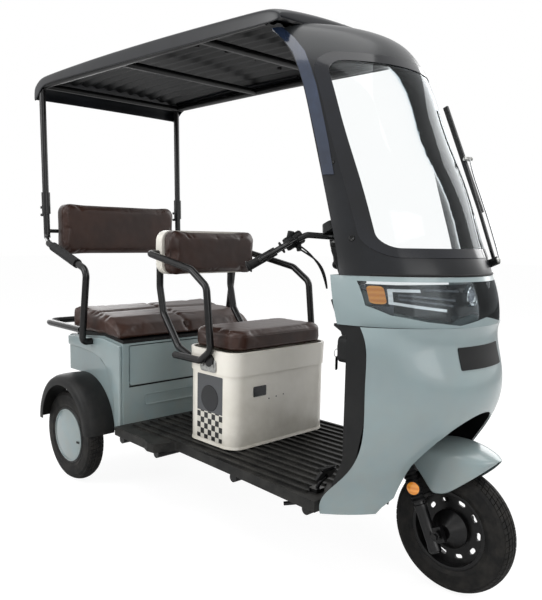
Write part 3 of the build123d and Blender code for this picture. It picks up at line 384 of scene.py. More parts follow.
# the projectors' lenses: thick glass, grey from the dark behind it, with a bright skin
projector_glass, tree, shader, place = material("moulded lamp glass")
tint = clouds(tree, place, 0.01, "#7d818c", "#b4b8c4")
finish(tree, shader, tint, waves(tree, place, 0.01, 0.0002, 0.2), 0.08, IOR=1.52, Coat_Weight=1.0,
       Coat_Roughness=0.02)

# the bezel's fins: satin grey, so that they read against the gloss behind them
bezel_grey, tree, shader, place = material("satin grey moulded reflector trim")
finish(tree, shader, clouds(tree, place, 0.03, "#3d4046", "#565a62"), waves(tree, place, 0.02, 0.0002, 0.2), 0.25,
       IOR=1.5, Coat_Weight=0.4, Coat_Roughness=0.1)
print("clear and coloured plastics made")

# %% [markdown]
# ## Light and floor
#
# The photograph is a studio cut-out: a white surround, a broad soft light from above and a weaker one from each
# side. The world and the floor are white to the camera and to reflections, so chrome and glass show the same white
# room, and the floor keeps a pale shadow under the wheels. The lamps themselves stay at a plain level.

# %% Light and floor
scene = bpy.context.scene
world = bpy.data.worlds.new("studio")
world.use_nodes = True
scene.world = world
world_tree = world.node_tree
world_tree.nodes.clear()
rays = add(world_tree, "LightPath").outputs
through = add(world_tree, "Math", {0: rays["Is Camera Ray"], 1: rays["Is Transmission Ray"]}, operation="MAXIMUM")
seen = add(world_tree, "Math", {0: through.outputs[0], 1: rays["Is Glossy Ray"]}, operation="MAXIMUM").outputs[0]
strength = add(world_tree, "MapRange", {0: seen, 3: 0.4, 4: 1.0}).outputs[0]
sky = add(world_tree, "Background", {"Color": (1, 1, 1, 1), "Strength": strength}).outputs[0]
add(world_tree, "OutputWorld", {"Surface": sky})


def softbox(name, place, aim, size, power):
    """A rectangular studio light that faces a point."""
    lamp = bpy.data.lights.new(name, "AREA")
    lamp.shape = "RECTANGLE"
    lamp.size, lamp.size_y = size
    lamp.energy = power
    made = bpy.data.objects.new(name, lamp)
    made.location = place
    made.rotation_euler = (Vector(aim) - Vector(place)).to_track_quat("-Z", "Y").to_euler()
    bpy.context.collection.objects.link(made)


MIDDLE = (0.0, 0.0, 0.8)
softbox("overhead", (0.6, -0.6, 4.6), MIDDLE, (4.5, 3.5), 120)
softbox("key from the right rear", (-1.5, -4.2, 2.8), MIDDLE, (2.6, 2.2), 85)
softbox("fill from the nose", (4.4, -1.0, 2.2), MIDDLE, (2.4, 2.4), 45)
softbox("rim from the left", (0.5, 4.2, 2.6), MIDDLE, (3.0, 2.0), 60)
softbox("low rear fill", (-4.2, 1.0, 1.8), MIDDLE, (2.5, 2.0), 40)

floor_form = bmesh.new()
bmesh.ops.create_grid(floor_form, x_segments=1, y_segments=1, size=30)
floor_mesh = bpy.data.meshes.new("floor")
floor_form.to_mesh(floor_mesh)
floor_form.free()
floor = bpy.data.objects.new("floor", floor_mesh)
bpy.context.collection.objects.link(floor)
floor_paint = bpy.data.materials.new("pale studio floor")
floor_paint.use_nodes = True
floor_tree = floor_paint.node_tree
floor_tree.nodes.remove(floor_tree.nodes["Principled BSDF"])
rays = add(floor_tree, "LightPath").outputs
# the camera sees the floor as white paper with a faint shadow: a weak diffuse part under a white glow
seen = add(floor_tree, "Math", {0: rays["Is Camera Ray"], 1: rays["Is Transmission Ray"]}, operation="MAXIMUM")
pale = add(floor_tree, "BsdfDiffuse", {"Color": colour("#e8e8e8")}).outputs[0]
faint = add(floor_tree, "BsdfDiffuse", {"Color": (0.22, 0.22, 0.22, 1)}).outputs[0]
glow = add(floor_tree, "Emission", {"Color": (1, 1, 1, 1), "Strength": 0.9}).outputs[0]
paper = add(floor_tree, "AddShader", {0: faint, 1: glow}).outputs[0]
look_of_it = add(floor_tree, "MixShader", {0: seen.outputs[0], 1: pale, 2: paper}).outputs[0]
floor_tree.links.new(look_of_it, floor_tree.nodes["Material Output"].inputs["Surface"])
floor_mesh.materials.append(floor_paint)
print("studio lit")

# %% [markdown]
# ## Finishes on the frame's own parts
#
# A CAD node whose shape is right only needs its material. Its object is left exactly where it is.

# %% Finishes on the frame's own parts
FINISH = {
    "tyre": tyre_rubber, "black_rim": rim_enamel, "body_paint": body_paint, "black_metal": powder_coat,
    "grip_rubber": soft_rubber, "black_plastic": black_plastic, "cast_alloy": cast_alloy,
    "floor_plastic": floor_plastic, "clear_lens": lamp_cover, "lamp_chrome": chrome, "amber_lens": amber_lens,
    "screen_glass": screen_glass, "brown_leather": leather, "red_lens": red_lens, "white_plastic": white_shell,
}
for part in frame["record"]["subparts"]:
    nodes[part["node"]].data.materials.clear()
    nodes[part["node"]].data.materials.append(FINISH[part["material_slot"]])
nodes["windscreen_frame"].data.materials[0] = screen_plastic
nodes["roof_shell"].data.materials[0] = roof_plastic
print("finishes given to", len(nodes), "nodes")

# %% [markdown]
# ## Tools for the pieces
#
# Every piece is a bmesh: it starts from a small shape or a few points, and operators turn it into the form. A few
# helpers cover most of it. A prism pushes a flat outline out into a plate, a slab is one with rounded corners, a
# rod joins two points with a round bar, a turned form spins a profile round an axle, lines of points are bridged
# into a sheet, and a hose sweeps a circle along a smooth line. One more gives the finished mesh its finish and
# the body that it rides on. Most fittings come in pairs, so the two sides have names.

# %% Tools for the pieces
SIDES = ((-1, "right"), (1, "left"))


def facing(origin, normal, upward=(0, 0, 1)):
    """A frame whose Z looks along normal, with its Y as near upward as it can be."""
    z = Vector(normal).normalized()
    x = Vector(upward).cross(z).normalized()
    return Matrix.Translation(origin) @ Matrix((x, z.cross(x), z)).transposed().to_4x4()


def prism(form, corners, push, bevel=0.0, segments=2):
    """Pushes a flat outline out into a plate and rounds its edges."""
    start = [form.verts.new(corner) for corner in corners]
    face = form.faces.new(start)
    pushed = bmesh.ops.extrude_face_region(form, geom=[face])
    tops = [item for item in pushed["geom"] if isinstance(item, bmesh.types.BMVert)]
    bmesh.ops.translate(form, verts=tops, vec=Vector(push))
    if not any(set(side.verts) == set(start) for side in start[0].link_faces):
        form.faces.new(reversed(start))
    made = set(start) | set(tops)
    if bevel:
        edges = list({edge for vert in made for edge in vert.link_edges})
        bmesh.ops.bevel(form, geom=edges, offset=bevel, segments=segments, affect="EDGES", profile=0.5, material=-1)


def rounded(width, height, corner, steps=6):
    """The outline of a rectangle with rounded corners, centred on its frame."""
    points = []
    for quarter in range(4):
        cx = (width / 2 - corner) * (1 if quarter in (0, 3) else -1)
        cy = (height / 2 - corner) * (1 if quarter < 2 else -1)
        for step in range(steps + 1):
            turn = math.pi / 2 * (quarter + step / steps)
            points.append((cx + corner * math.cos(turn), cy + corner * math.sin(turn)))
    return points


def slab(form, there, size, corner, push, bevel=0.0, segments=1, steps=4):
    """A plate with rounded corners, drawn on the frame there and pushed out."""
    prism(form, [there @ Vector((a, b, 0)) for a, b in rounded(*size, corner, steps)], push, bevel, segments)


def rod(form, foot, head, radius, tip=None, sides=20, bevel=0.0):
    """A round bar from foot to head; tip is its radius at the head."""
    foot, head = Vector(foot), Vector(head)
    along = head - foot
    turn = along.to_track_quat("Z", "Y").to_matrix().to_4x4()
    made = bmesh.ops.create_cone(form, cap_ends=True, segments=sides, radius1=radius,
                                 radius2=radius if tip is None else tip, depth=along.length,
                                 matrix=Matrix.Translation((foot + head) / 2) @ turn)["verts"]
    if bevel:
        rims = {e for v in made for e in v.link_edges if any(len(f.verts) > 4 for f in e.link_faces)}
        bmesh.ops.bevel(form, geom=list(rims), offset=bevel, segments=2, affect="EDGES", profile=0.5, material=-1)


def turned(form, profile, centre, axis=(0, 1, 0), steps=64):
    """Spins a profile of (radius, along the axle) points round the axle."""
    axle = Vector(axis).normalized()
    side = axle.orthogonal().normalized()
    verts = [form.verts.new(Vector(centre) + side * radius + axle * reach) for radius, reach in profile]
    edges = [form.edges.new(pair) for pair in zip(verts, verts[1:])]
    bmesh.ops.spin(form, geom=verts + edges, cent=Vector(centre), axis=axle, angle=math.tau, steps=steps,
                   use_merge=True)
    bmesh.ops.remove_doubles(form, verts=form.verts, dist=0.00005)


def bridged(form, lines, closed=False, around=False):
    """Joins lines of points into a sheet. Closed lines are rings, and around joins the last line to the first.

    The strip that closes a ring of rings takes its direction from its neighbours, so these agree first.
    """
    def pairs(line):
        return list(zip(line, line[1:])) + ([(line[-1], line[0])] if closed else [])

    for line in lines:
        for pair in pairs(line):
            form.edges.new(pair)
    for first, second in zip(lines, lines[1:] + (lines[:1] if around else [])):
        edges = [form.edges.get(pair) for line in (first, second) for pair in pairs(line)]
        if closed and around:
            bmesh.ops.recalc_face_normals(form, faces=form.faces)
        bmesh.ops.bridge_loops(form, edges=edges)


def hose(points, radius, sides=10, cyclic=False, smooth=True):
    """The mesh of a round line through these points, read from a curve."""
    line = bpy.data.curves.new("line", "CURVE")
    line.dimensions = "3D"
    line.bevel_depth = radius
    line.bevel_resolution = max(1, sides // 4)
    line.use_fill_caps = True
    spline = line.splines.new("NURBS" if smooth else "POLY")
    spline.points.add(len(points) - 1)
    for point, place in zip(spline.points, points):
        point.co = (*place, 1)
    spline.use_cyclic_u = cyclic
    if smooth:
        spline.order_u = 3
        spline.use_endpoint_u = not cyclic
    holder = bpy.data.objects.new("line", line)
    made = bpy.data.meshes.new_from_object(holder)
    bpy.data.objects.remove(holder)
    return made


def add_hose(form, points, radius, **options):
    mesh = hose(points, radius, **options)
    form.from_mesh(mesh)
    bpy.data.meshes.remove(mesh)


def piece_of(name, form, paint, body="root", stands_for=(), angle=32, subdivide=0):
    """Turns a finished form into an object with a finish, that rides on a body."""
    bmesh.ops.remove_doubles(form, verts=form.verts, dist=0.00002)
    bmesh.ops.recalc_face_normals(form, faces=form.faces)
    mesh = bpy.data.meshes.new(name)
    form.to_mesh(mesh)
    form.free()
    mesh.materials.append(paint)
    mesh.shade_smooth()
    mesh.set_sharp_from_angle(angle=math.radians(angle))
    piece = bpy.data.objects.new(name, mesh)
    bpy.context.collection.objects.link(piece)
    if subdivide:
        rounding = piece.modifiers.new("rounding", "SUBSURF")
        rounding.levels = rounding.render_levels = subdivide
    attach(piece, body)
    if stands_for:
        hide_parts(*stands_for)
    print(name, "has", len(mesh.polygons), "faces and rides on", body)
    return piece


trees = {}


def surface(node, origin, direction):
    """Where a straight look first meets a CAD node, and how it faces; a near miss takes the nearest point."""
    if node not in trees:
        skin = bmesh.new()
        skin.from_mesh(nodes[node].data)
        trees[node] = BVHTree.FromBMesh(skin)
        skin.free()
    place, normal, _, _ = trees[node].ray_cast(Vector(origin), Vector(direction))
    if place is None:
        box_low, box_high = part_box(node)
        reach = (box_low + box_high) / 2 - Vector(origin)
        beneath = Vector(origin) + Vector(direction) * reach.dot(Vector(direction))
        place, normal, _, _ = trees[node].find_nearest(beneath)
    return place, normal


def front_of(node, left, height, ahead=2.2):
    """The point of a node's front that lies this far left and up."""
    return surface(node, (fore(ahead), left, height), (-1, 0, 0))


def beside(node, ahead, height, side):
    """The point of a node's flank that lies this far ahead and up."""
    return surface(node, (fore(ahead), side * 1.2, height), (0, -side, 0))


def patch(form, outline, look, lift, thick, hole=None, cell=0.02):
    """Cuts an outline (and a hole) from a sheet, lays it on the skin that look finds, and thickens it."""
    sheet = bmesh.new()
    rim = [sheet.verts.new((a, b, 0)) for a, b in outline]
    if hole:
        inner = [sheet.verts.new((a, b, 0)) for a, b in hole]
        loops = [sheet.edges.new((ring[i - 1], ring[i])) for ring in (rim, inner) for i in range(len(ring))]
        bmesh.ops.bridge_loops(sheet, edges=loops)
    else:
        sheet.faces.new(rim)
    for axis in (0, 1):
        low, high = min(v.co[axis] for v in sheet.verts), max(v.co[axis] for v in sheet.verts)
        for cut in range(1, int((high - low) / cell) + 1):
            at = Vector((0, 0, 0))
            at[axis] = low + cut * (high - low) / (int((high - low) / cell) + 1)
            across = Vector((0, 0, 0))
            across[axis] = 1
            bmesh.ops.bisect_plane(sheet, geom=sheet.verts[:] + sheet.edges[:] + sheet.faces[:], plane_co=at,
                                   plane_no=across)
    outward = Vector((0, 0, 0))
    for vert in sheet.verts:
        place, normal = look(vert.co.x, vert.co.y)
        vert.co = place + normal * lift
        outward += normal
    bmesh.ops.recalc_face_normals(sheet, faces=sheet.faces)
    if sum((face.normal for face in sheet.faces), Vector()).dot(outward) < 0:
        bmesh.ops.reverse_faces(sheet, faces=sheet.faces)
    sheet.normal_update()
    bmesh.ops.solidify(sheet, geom=sheet.faces[:], thickness=thick)
    mesh = bpy.data.meshes.new("sheet")
    sheet.to_mesh(mesh)
    sheet.free()
    form.from_mesh(mesh)
    bpy.data.meshes.remove(mesh)


def nose(node, depth=0.0):
    """Looks at a node's front from ahead, or at a level this far behind its skin."""
    def look(left, height):
        place, normal = front_of(node, left, height)
        return place - normal * depth, normal
    return look


def flank(node, side):
    """Looks at a node's flank from the right (side -1) or the left (side 1)."""
    def look(ahead, height):
        return beside(node, ahead, height, side)
    return look


print("tools ready")

# %% [markdown]
# ## Tyres with a tread
#
# A tyre is a carcass of rubber with a moulded tread. Its section is spun round the axle, and the faces of the
# crown are skewed into a chevron, so that the blocks lean as the real ones do. An inset raises each face into a
# block, which leaves the grooves between them. A texture could paint the tread, but the outline against the
# light shows the blocks, so they are real geometry.

# %% Tyres with a tread
TREAD_STEPS = 66
TREAD_DEPTH = 3.2 * MM
GROOVE = 1.5 * MM
CHEVRON = math.radians(4.2)
CROWN_FROM_R, CROWN_HALF, MIDDLE_GROOVE = 0.1905, 0.031, 0.0016
HALF_SECTION = ((127, 33), (133, 36), (141, 38.2), (143, 39.4), (146, 38.6), (158, 40), (170, 39.4), (179, 37.6),
                (182, 38), (186, 36), (191.5, 31.5), (198, 22), (202, 11), (203.4, 1.6))
WHEELS = (("front", "front_wheel", 1), ("rear_right", "rear_wheel_right", -1), ("rear_left", "rear_wheel_left", 1))


def centre_of(node):
    low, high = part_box(node)
    return (low + high) / 2


for name, body, side in WHEELS:
    middle = centre_of("tyre_" + name)
    section = [(radius * MM, -reach * MM) for radius, reach in HALF_SECTION]
    section += [(radius * MM, reach * MM) for radius, reach in reversed(HALF_SECTION)]
    form = bmesh.new()
    turned(form, section + section[:1], middle, steps=TREAD_STEPS)
    crown = []
    for face in form.faces:
        spot = face.calc_center_median() - middle
        if math.hypot(spot.x, spot.z) > CROWN_FROM_R and abs(spot.y) > MIDDLE_GROOVE:
            crown.append(face)
    for vert in {vert for face in crown for vert in face.verts}:
        lean = CHEVRON * abs(vert.co.y - middle.y) / CROWN_HALF
        vert.co = middle + Matrix.Rotation(lean, 3, "Y") @ (vert.co - middle)
    bmesh.ops.recalc_face_normals(form, faces=form.faces)
    bmesh.ops.inset_individual(form, faces=crown, thickness=GROOVE, depth=TREAD_DEPTH)
    piece_of("tyre_with_tread_" + name, form, tyre_rubber, body, ("tyre_" + name,), angle=28)

# %% [markdown]
# ## Wheel fittings
#
# The pressed rims come from the frame. What they lack is small: a rolled lip where the bead sits, a ring of nuts
# round the hub, a valve, and on the painted caps a shallow ring and a black plate at the valve notch, whose black
# paints the shade in the notch along with the dark valve stem.

# %% Wheel fittings
NUTS, NUT_CIRCLE_R = 5, 0.045
for name, body, side in WHEELS:
    middle = centre_of("tyre_" + name)
    form = bmesh.new()
    for face_of_wheel in (-1, 1):
        lip = [(r * MM, face_of_wheel * a * MM) for r, a in
               ((116, 32.5), (117, 35), (121, 36.2), (126.8, 36.4), (128.6, 34.8), (128, 33), (120, 32.8),
                (116, 32.5))]
        turned(form, lip, middle, steps=72)
    for nut in range(NUTS):
        turn = math.tau * nut / NUTS
        spot = middle + Vector((math.cos(turn), 0, math.sin(turn))) * NUT_CIRCLE_R
        out = side * 0.044 if name == "front" else side * 0.024
        rod(form, spot, spot + Vector((0, out, 0)), 0.008, sides=6, bevel=0.001)
    hub_out = middle + Vector((0, side * (0.064 if name == "front" else 0.03), 0))
    rod(form, middle, hub_out, 0.022, 0.018, 24, 0.002)
    valve = middle + Vector((0.07, side * 0.012, 0.088))
    rod(form, valve, valve + Vector((0.004, side * 0.022, 0.004)), 0.0035, 0.0028, 10)
    piece_of("rim_lip_and_nuts_" + name, form, rim_enamel, body)

for name, body, side in WHEELS[1:]:
    middle = centre_of("tyre_" + name)
    form = bmesh.new()
    reach = side * 0.0355
    ring = [(0.119, reach), (0.1195, reach + side * 0.003), (0.117, reach + side * 0.0045),
            (0.1135, reach + side * 0.0055), (0.112, reach + side * 0.002), (0.119, reach)]
    turned(form, ring, middle, steps=72)
    piece_of("cap_rim_" + name, form, body_paint, body)
    form = bmesh.new()
    # the notch plate's black is partly painted shade: it stands for the shadow in the cap's valve notch
    notch = middle + Vector((0.098, side * 0.0412, -0.012))
    slab(form, facing(notch, (0.08, side, 0)), (0.02, 0.009), 0.003, (0, side * 0.003, 0), 0.0008, steps=3)
    piece_of("cap_notch_" + name, form, black_plastic, body)

# %% [markdown]
# ## Fork and front axle
#
# The fork's stanchions wear rubber boots with folds, above dark sliders. Its axle ends in nuts with washers, and
# a round amber reflector sits on a bracket outside each leg. The folds are a zigzag profile spun round the leg.

# %% Fork and front axle
LEG_AHEAD, LEG_LEFT = 0.035, 0.085
form = bmesh.new()
for side in (-1, 1):
    foot = steered(LEG_AHEAD, side * LEG_LEFT, -0.03)
    folds = [(0.0175, 0.0), (0.0225, 0.001)]
    for fold in range(9):
        folds += [(0.0232, 0.006 + 0.0125 * fold), (0.0186, 0.012 + 0.0125 * fold)]
    folds += [(0.022, 0.123), (0.022, 0.135), (0.0175, 0.136)]
    turned(form, folds + folds[:1], foot, STEER_UP, 28)
piece_of("fork_boots", form, soft_rubber, "steering")

form = bmesh.new()
for side in (-1, 1):
    foot = steered(LEG_AHEAD, side * LEG_LEFT, -0.19)
    slider = [(0.0173, 0.0), (0.0205, 0.004), (0.021, 0.02), (0.0195, 0.03), (0.0195, 0.13), (0.0215, 0.137),
              (0.0215, 0.15), (0.0173, 0.152)]
    turned(form, slider + slider[:1], foot, STEER_UP, 28)
    axle_end = centre_of("tyre_front") + Vector((0, side * 0.104, 0))
    rod(form, axle_end, axle_end + Vector((0, side * 0.003, 0)), 0.0155, sides=24, bevel=0.0006)
    rod(form, axle_end, axle_end + Vector((0, side * 0.0125, 0)), 0.0115, sides=6, bevel=0.001)
piece_of("fork_sliders_and_axle_nuts", form, powder_coat, "steering")

REFLECTOR = (1.62, 0.112, 0.344)
form, lenses = bmesh.new(), bmesh.new()
for side in (-1, 1):
    spot = Vector((fore(REFLECTOR[0]), side * REFLECTOR[1], REFLECTOR[2]))
    out = Vector((0.25, side, 0)).normalized()
    cup = [(0.0, 0.0), (0.021, 0.0), (0.0235, 0.004), (0.0235, 0.009), (0.021, 0.0095), (0.0205, 0.005),
           (0.0, 0.005)]
    turned(form, cup, spot, out, 32)
    dome = [(0.0, 0.0055), (0.0203, 0.0055), (0.0203, 0.009), (0.014, 0.0115), (0.0, 0.0125)]
    turned(lenses, dome, spot, out, 32)
    rod(form, spot, steered(LEG_AHEAD, side * LEG_LEFT, 0.035), 0.007, sides=14)
piece_of("reflector_cups", form, black_plastic, "steering")
piece_of("reflector_lenses", lenses, amber_lens, "steering")
nodes["fork"].data.materials[0] = powder_coat

# %% [markdown]
# ## Wheel arch liner
#
# Behind the arch in the cowl a black liner keeps spray out of the body, and its black also paints the shade inside
# the arch. Its mouth follows the arch just inside the painted skin, and it widens behind, so that the mudguard can
# turn in it. Three loops of points, one behind the other, are bridged into the tunnel.

# %% Wheel arch liner
ARCH = ((0.189, 0.292), (0.186, 0.32), (0.184, 0.345), (0.181, 0.4), (0.179, 0.44), (0.166, 0.482), (0.145, 0.52),
        (0.118, 0.553), (0.085, 0.58), (0.045, 0.596))
arch_line = [(-y, z) for y, z in ARCH] + [(0, 0.6)] + list(reversed(ARCH))
# the liner's black is partly painted shade: it darkens the inside of the arch
form = bmesh.new()
loops = []
for widen, lift, behind in ((1.03, 0.006, 0.006), (1.16, 0.03, 0.05), (1.3, 0.06, 0.09)):
    loop = []
    for left, height in arch_line:
        skin, _ = front_of("front_cowl", left * 1.03, height + 0.006)
        loop.append(form.verts.new((skin.x - behind, left * widen, height + lift)))
    loops.append(loop)
loops.append([form.verts.new((fore(1.512), vert.co.y, vert.co.z)) for vert in loops[-1]])
bridged(form, loops)
bmesh.ops.recalc_face_normals(form, faces=form.faces)
bmesh.ops.solidify(form, geom=form.faces[:], thickness=0.0025)
piece_of("wheel_arch_liner", form, black_plastic, angle=60)

# %% [markdown]
# ## Front mudguard
#
# The mudguard is one moulded visor that turns with the fork: a rounded crown that follows the tyre, a pointed nose
# and a deep skirt on each side. Its section changes along the arc, so a section is laid out at each of a dozen
# angles round the axle and the sections are bridged, which keeps the surface smooth from nose to tail.

# %% Front mudguard
CROWN_R, GUARD_HALF = 0.294, 0.075
GUARD_STATIONS = ((60.5, 0.012, 0.289), (62, 0.034, 0.262), (64, 0.05, 0.234), (67.5, 0.062, 0.203),
                  (73, 0.07, 0.172), (79, 0.074, 0.149), (86, 0.075, 0.134), (94, 0.075, 0.127),
                  (102, 0.075, 0.126), (107, 0.075, 0.131), (110.5, 0.075, 0.152), (114, 0.075, 0.185),
                  (118.5, 0.075, 0.236))
axle = centre_of("tyre_front")
form = bmesh.new()
chains = []
for degrees_round, half, skirt in GUARD_STATIONS:
    turn = math.radians(degrees_round)
    out = Vector((math.cos(turn), 0, math.sin(turn)))
    shoulder = max(skirt + 0.002, CROWN_R - 0.046 * half / GUARD_HALF)
    half_section = []
    for step in range(5):
        share = step / 4
        half_section.append((half + 0.003 * (1 - share) ** 2, skirt + (shoulder - skirt) * share))
    for step in range(1, 8):
        swing = math.pi / 2 * step / 8
        half_section.append((half * math.cos(swing) ** 0.8, shoulder + (CROWN_R - shoulder) * math.sin(swing)))
    section = [(-y, r) for y, r in half_section] + [(0, CROWN_R)] + list(reversed(half_section))
    chains.append([form.verts.new(axle + out * r + Vector((0, y, 0))) for y, r in section])
bridged(form, chains)
bmesh.ops.recalc_face_normals(form, faces=form.faces)
if sum((face.normal.dot(face.calc_center_median() - axle) for face in form.faces)) < 0:
    bmesh.ops.reverse_faces(form, faces=form.faces)
bmesh.ops.solidify(form, geom=form.faces[:], thickness=0.003)
piece_of("mudguard_visor", form, body_paint, "steering", ("mudguard_front",), angle=50, subdivide=1)

# %% [markdown]
# ## Inside the headlamp
#
# Behind the clear cover a glossy black bezel carries two round projector lamps in the middle and a white light
# guide at each end, bent like a bracket beside the amber signal. The bezel is a sheet cut to the cover's outline
# and laid a little behind its skin. The lamps' cups and lenses are turned forms.

# %% Inside the headlamp
COVER = ((0.312, 0.992), (0.309, 0.934), (0.277, 0.91), (0.21, 0.893), (0.115, 0.88), (0.0, 0.899))
cover_line = list(COVER) + [(-left, height) for left, height in reversed(COVER[:-1])]


def bezel_look(left, height):
    """The bezel's level: a little behind the cover, and deeper round the lamps in the middle."""
    place, normal = front_of("headlamp_lens", left, height)
    well = max(0.0, 1 - (left / 0.13) ** 4)
    return place - normal * 0.015 - Vector((0.034 * well, 0, 0)), normal


form = bmesh.new()
patch(form, cover_line, bezel_look, 0.0, 0.0015)
piece_of("headlamp_bezel", form, gloss_black)

LAMP_LEFT, LAMP_HEIGHT = 0.037, 0.956
cups, lenses = bmesh.new(), bmesh.new()
for side in (-1, 1):
    skin, _ = front_of("headlamp_lens", side * LAMP_LEFT, LAMP_HEIGHT)
    spot = skin - Vector((0.034, 0, 0))
    cup = [(0.0, 0.002), (0.019, 0.003), (0.0235, 0.008), (0.0265, 0.017), (0.0285, 0.0205), (0.0315, 0.021),
           (0.034, 0.018), (0.034, 0.004), (0.03, 0.0), (0.0, 0.0)]
    turned(cups, cup, spot, (1, 0, 0), 48)
    ball = [(0.0, 0.0205), (0.009, 0.0195), (0.0155, 0.0165), (0.0195, 0.0115), (0.0205, 0.006), (0.0, 0.004)]
    turned(lenses, ball, spot, (1, 0, 0), 40)
piece_of("projector_cups", cups, chrome, stands_for=("headlamps",))
piece_of("projector_lenses", lenses, projector_glass)


def strip_between(form, node, path, half, depth, thick):
    """A flat strip along a path of (left, height) points, laid behind a node's skin."""
    for (a, b), (c, d) in zip(path, path[1:]):
        along = Vector((c - a, d - b)).normalized() * half * 0.7
        across = Vector((-along.y, along.x)) / 0.7
        start, end = Vector((a, b)) - along, Vector((c, d)) + along
        outline = [(start + across)[:], (start - across)[:], (end - across)[:], (end + across)[:]]
        patch(form, outline, nose(node, depth), 0.0, thick)


GUIDE_PATH = ((0.218, 0.975), (0.277, 0.975), (0.279, 0.938), (0.225, 0.928), (0.155, 0.918))
FIN_ENDS = (((0.262, 0.962), (0.12, 0.948)), ((0.262, 0.95), (0.13, 0.932)), ((0.2, 0.978), (0.1, 0.975)))
guides, fins = bmesh.new(), bmesh.new()
for side in (-1, 1):
    bracket = [(side * y, z) for y, z in GUIDE_PATH]
    strip_between(guides, "headlamp_lens", bracket, 0.0042, 0.009, 0.005)
    for high, low in FIN_ENDS:
        path = [(side * left, height) for left, height in (high, low)]
        strip_between(fins, "headlamp_lens", path, 0.003, 0.012, 0.006)
    bay = [(side * (0.3 + a), 0.959 + b) for a, b in rounded(0.036, 0.064, 0.01, 4)]
    patch(fins, bay, nose("headlamp_lens", 0.0155), 0.0, 0.002)
signals = bmesh.new()
for side in (-1, 1):
    lens = [(side * (0.2985 + a), 0.96 + b) for a, b in rounded(0.025, 0.052, 0.008, 4)]
    patch(signals, lens, nose("headlamp_lens", 0.006), 0.0, 0.006)
piece_of("turn_signal_lenses", signals, amber_lens, stands_for=("turn_signals",))
piece_of("daytime_light_guides", guides, white_strip)
piece_of("bezel_fins", fins, bezel_grey)

# %% [markdown]
# ## Badge plate
#
# A plain dark plate, left blank, sits on the nose under the lamps. It is cut to its outline and laid on the skin
# of the cowl.

# %% Badge plate
form = bmesh.new()
patch(form, [(a, 0.774 + b) for a, b in rounded(0.228, 0.066, 0.005, 3)], nose("front_cowl"), 0.003, 0.0035)
piece_of("badge_plate", form, black_plastic)

# %% [markdown]
# ## Windscreen trim
#
# The clear sheet lies over the frame and its printed black border runs round the window. A glossy strip follows
# each pillar's rear edge from the roof to the middle. Countersunk screws hold the sheet at each side, and a moulded
# bead closes the gap to the headlamp band.

# %% Windscreen trim
WINDOW = (0.276, 1.092, 1.66)
MISS_COST = 4


def screen_look(left, height):
    """The outer skin of the frame or of the glass, whichever a look from ahead meets."""
    return max((front_of(node, left, height) for node in ("windscreen_frame", "windscreen_glass")),
               key=lambda found: found[0].x - MISS_COST * math.hypot(found[0].y - left, found[0].z - height))


half, low, high = WINDOW
middle = (low + high) / 2
hole = [(a, middle + b) for a, b in rounded(2 * half - 0.004, high - low - 0.004, 0.043, 8)]
border = [(a, middle + b) for a, b in rounded(2 * half + 0.05, high - low + 0.05, 0.065, 8)]
form = bmesh.new()
patch(form, border, screen_look, 0.0022, 0.0018, hole=hole)
piece_of("windscreen_printed_border", form, gloss_black)

SCREEN_REAR = ((1.775, 1.148), (1.731, 1.204), (1.688, 1.244), (1.638, 1.272), (1.576, 1.299), (1.484, 1.33),
               (1.4, 1.357), (1.308, 1.384))
form = bmesh.new()
for side in (-1, 1):
    chains = []
    for inset, lift in ((0.003, -0.002), (0.003, 0.0032), (0.02, 0.0046), (0.036, 0.0032), (0.036, -0.002)):
        chain = []
        for height, ahead in SCREEN_REAR:
            spot, normal = beside("windscreen_frame", ahead + inset, height, side)
            chain.append(form.verts.new(spot + normal * lift))
        chains.append(chain)
    bridged(form, chains, around=True)
    for end in (0, -1):
        form.faces.new([chain[end] for chain in chains])
piece_of("pillar_gloss_strips", form, pillar_gloss, angle=50)

form = bmesh.new()
for side in (-1, 1):
    for ahead, height in ((1.361, 1.613), (1.453, 1.346), (1.528, 1.121)):
        spot, normal = front_of("windscreen_frame", side * 0.31, height)
        head = [(0.0, 0.0005), (0.004, 0.001), (0.0075, 0.003), (0.0085, 0.0028), (0.0095, 0.0005),
                (0.0095, -0.001), (0.0, -0.001)]
        turned(form, head, spot, normal, 20)
piece_of("windscreen_screws", form, rim_enamel)

form = bmesh.new()
foot = [front_of("windscreen_frame", -0.3 + 0.03 * step, 1.0165) for step in range(21)]
add_hose(form, [spot + normal * 0.001 for spot, normal in foot], 0.0035, sides=8)
piece_of("windscreen_foot_bead", form, soft_rubber)

# %% [markdown]
# ## Wiper fittings
#
# The wiper's arm and blade come from the frame. A domed nut, the blade's holder and a thin spring rod
# along the arm make it a real one.

# %% Wiper fittings
form = bmesh.new()
pivot = Vector((fore(1.715), 0.15, 1.058))
turned(form, [(0.0, 0.012), (0.006, 0.0115), (0.0095, 0.008), (0.0105, 0.0), (0.0, 0.0)], pivot, (1, 0, 0.45), 24)
holder = Vector((fore(1.5635), 0.2045, 1.39))
rod(form, holder - Vector((0.006, 0.014, 0)), holder + Vector((0.006, 0.014, 0)), 0.0075, sides=16, bevel=0.001)
piece_of("wiper_nut_and_holder", form, zinc)
form = bmesh.new()
arm = ((1.722, 0.158, 1.06), (1.69, 0.165, 1.14), (1.636, 0.183, 1.25), (1.585, 0.197, 1.35), (1.571, 0.206, 1.388))
add_hose(form, [(fore(x), y, z) for x, y, z in arm], 0.0025, sides=8)
piece_of("wiper_spring_rod", form, chrome)

# %% [markdown]
# ## Roof moulding
#
# The roof is one black moulding with a soft shoulder all round, and its rear end turns down to meet the poles. Its
# section hardly changes along the roof, so a half section is written as a small rule, laid out at each station and
# bridged to the next. Closely spaced stations at each end let the subdivision turn the end down in a round.

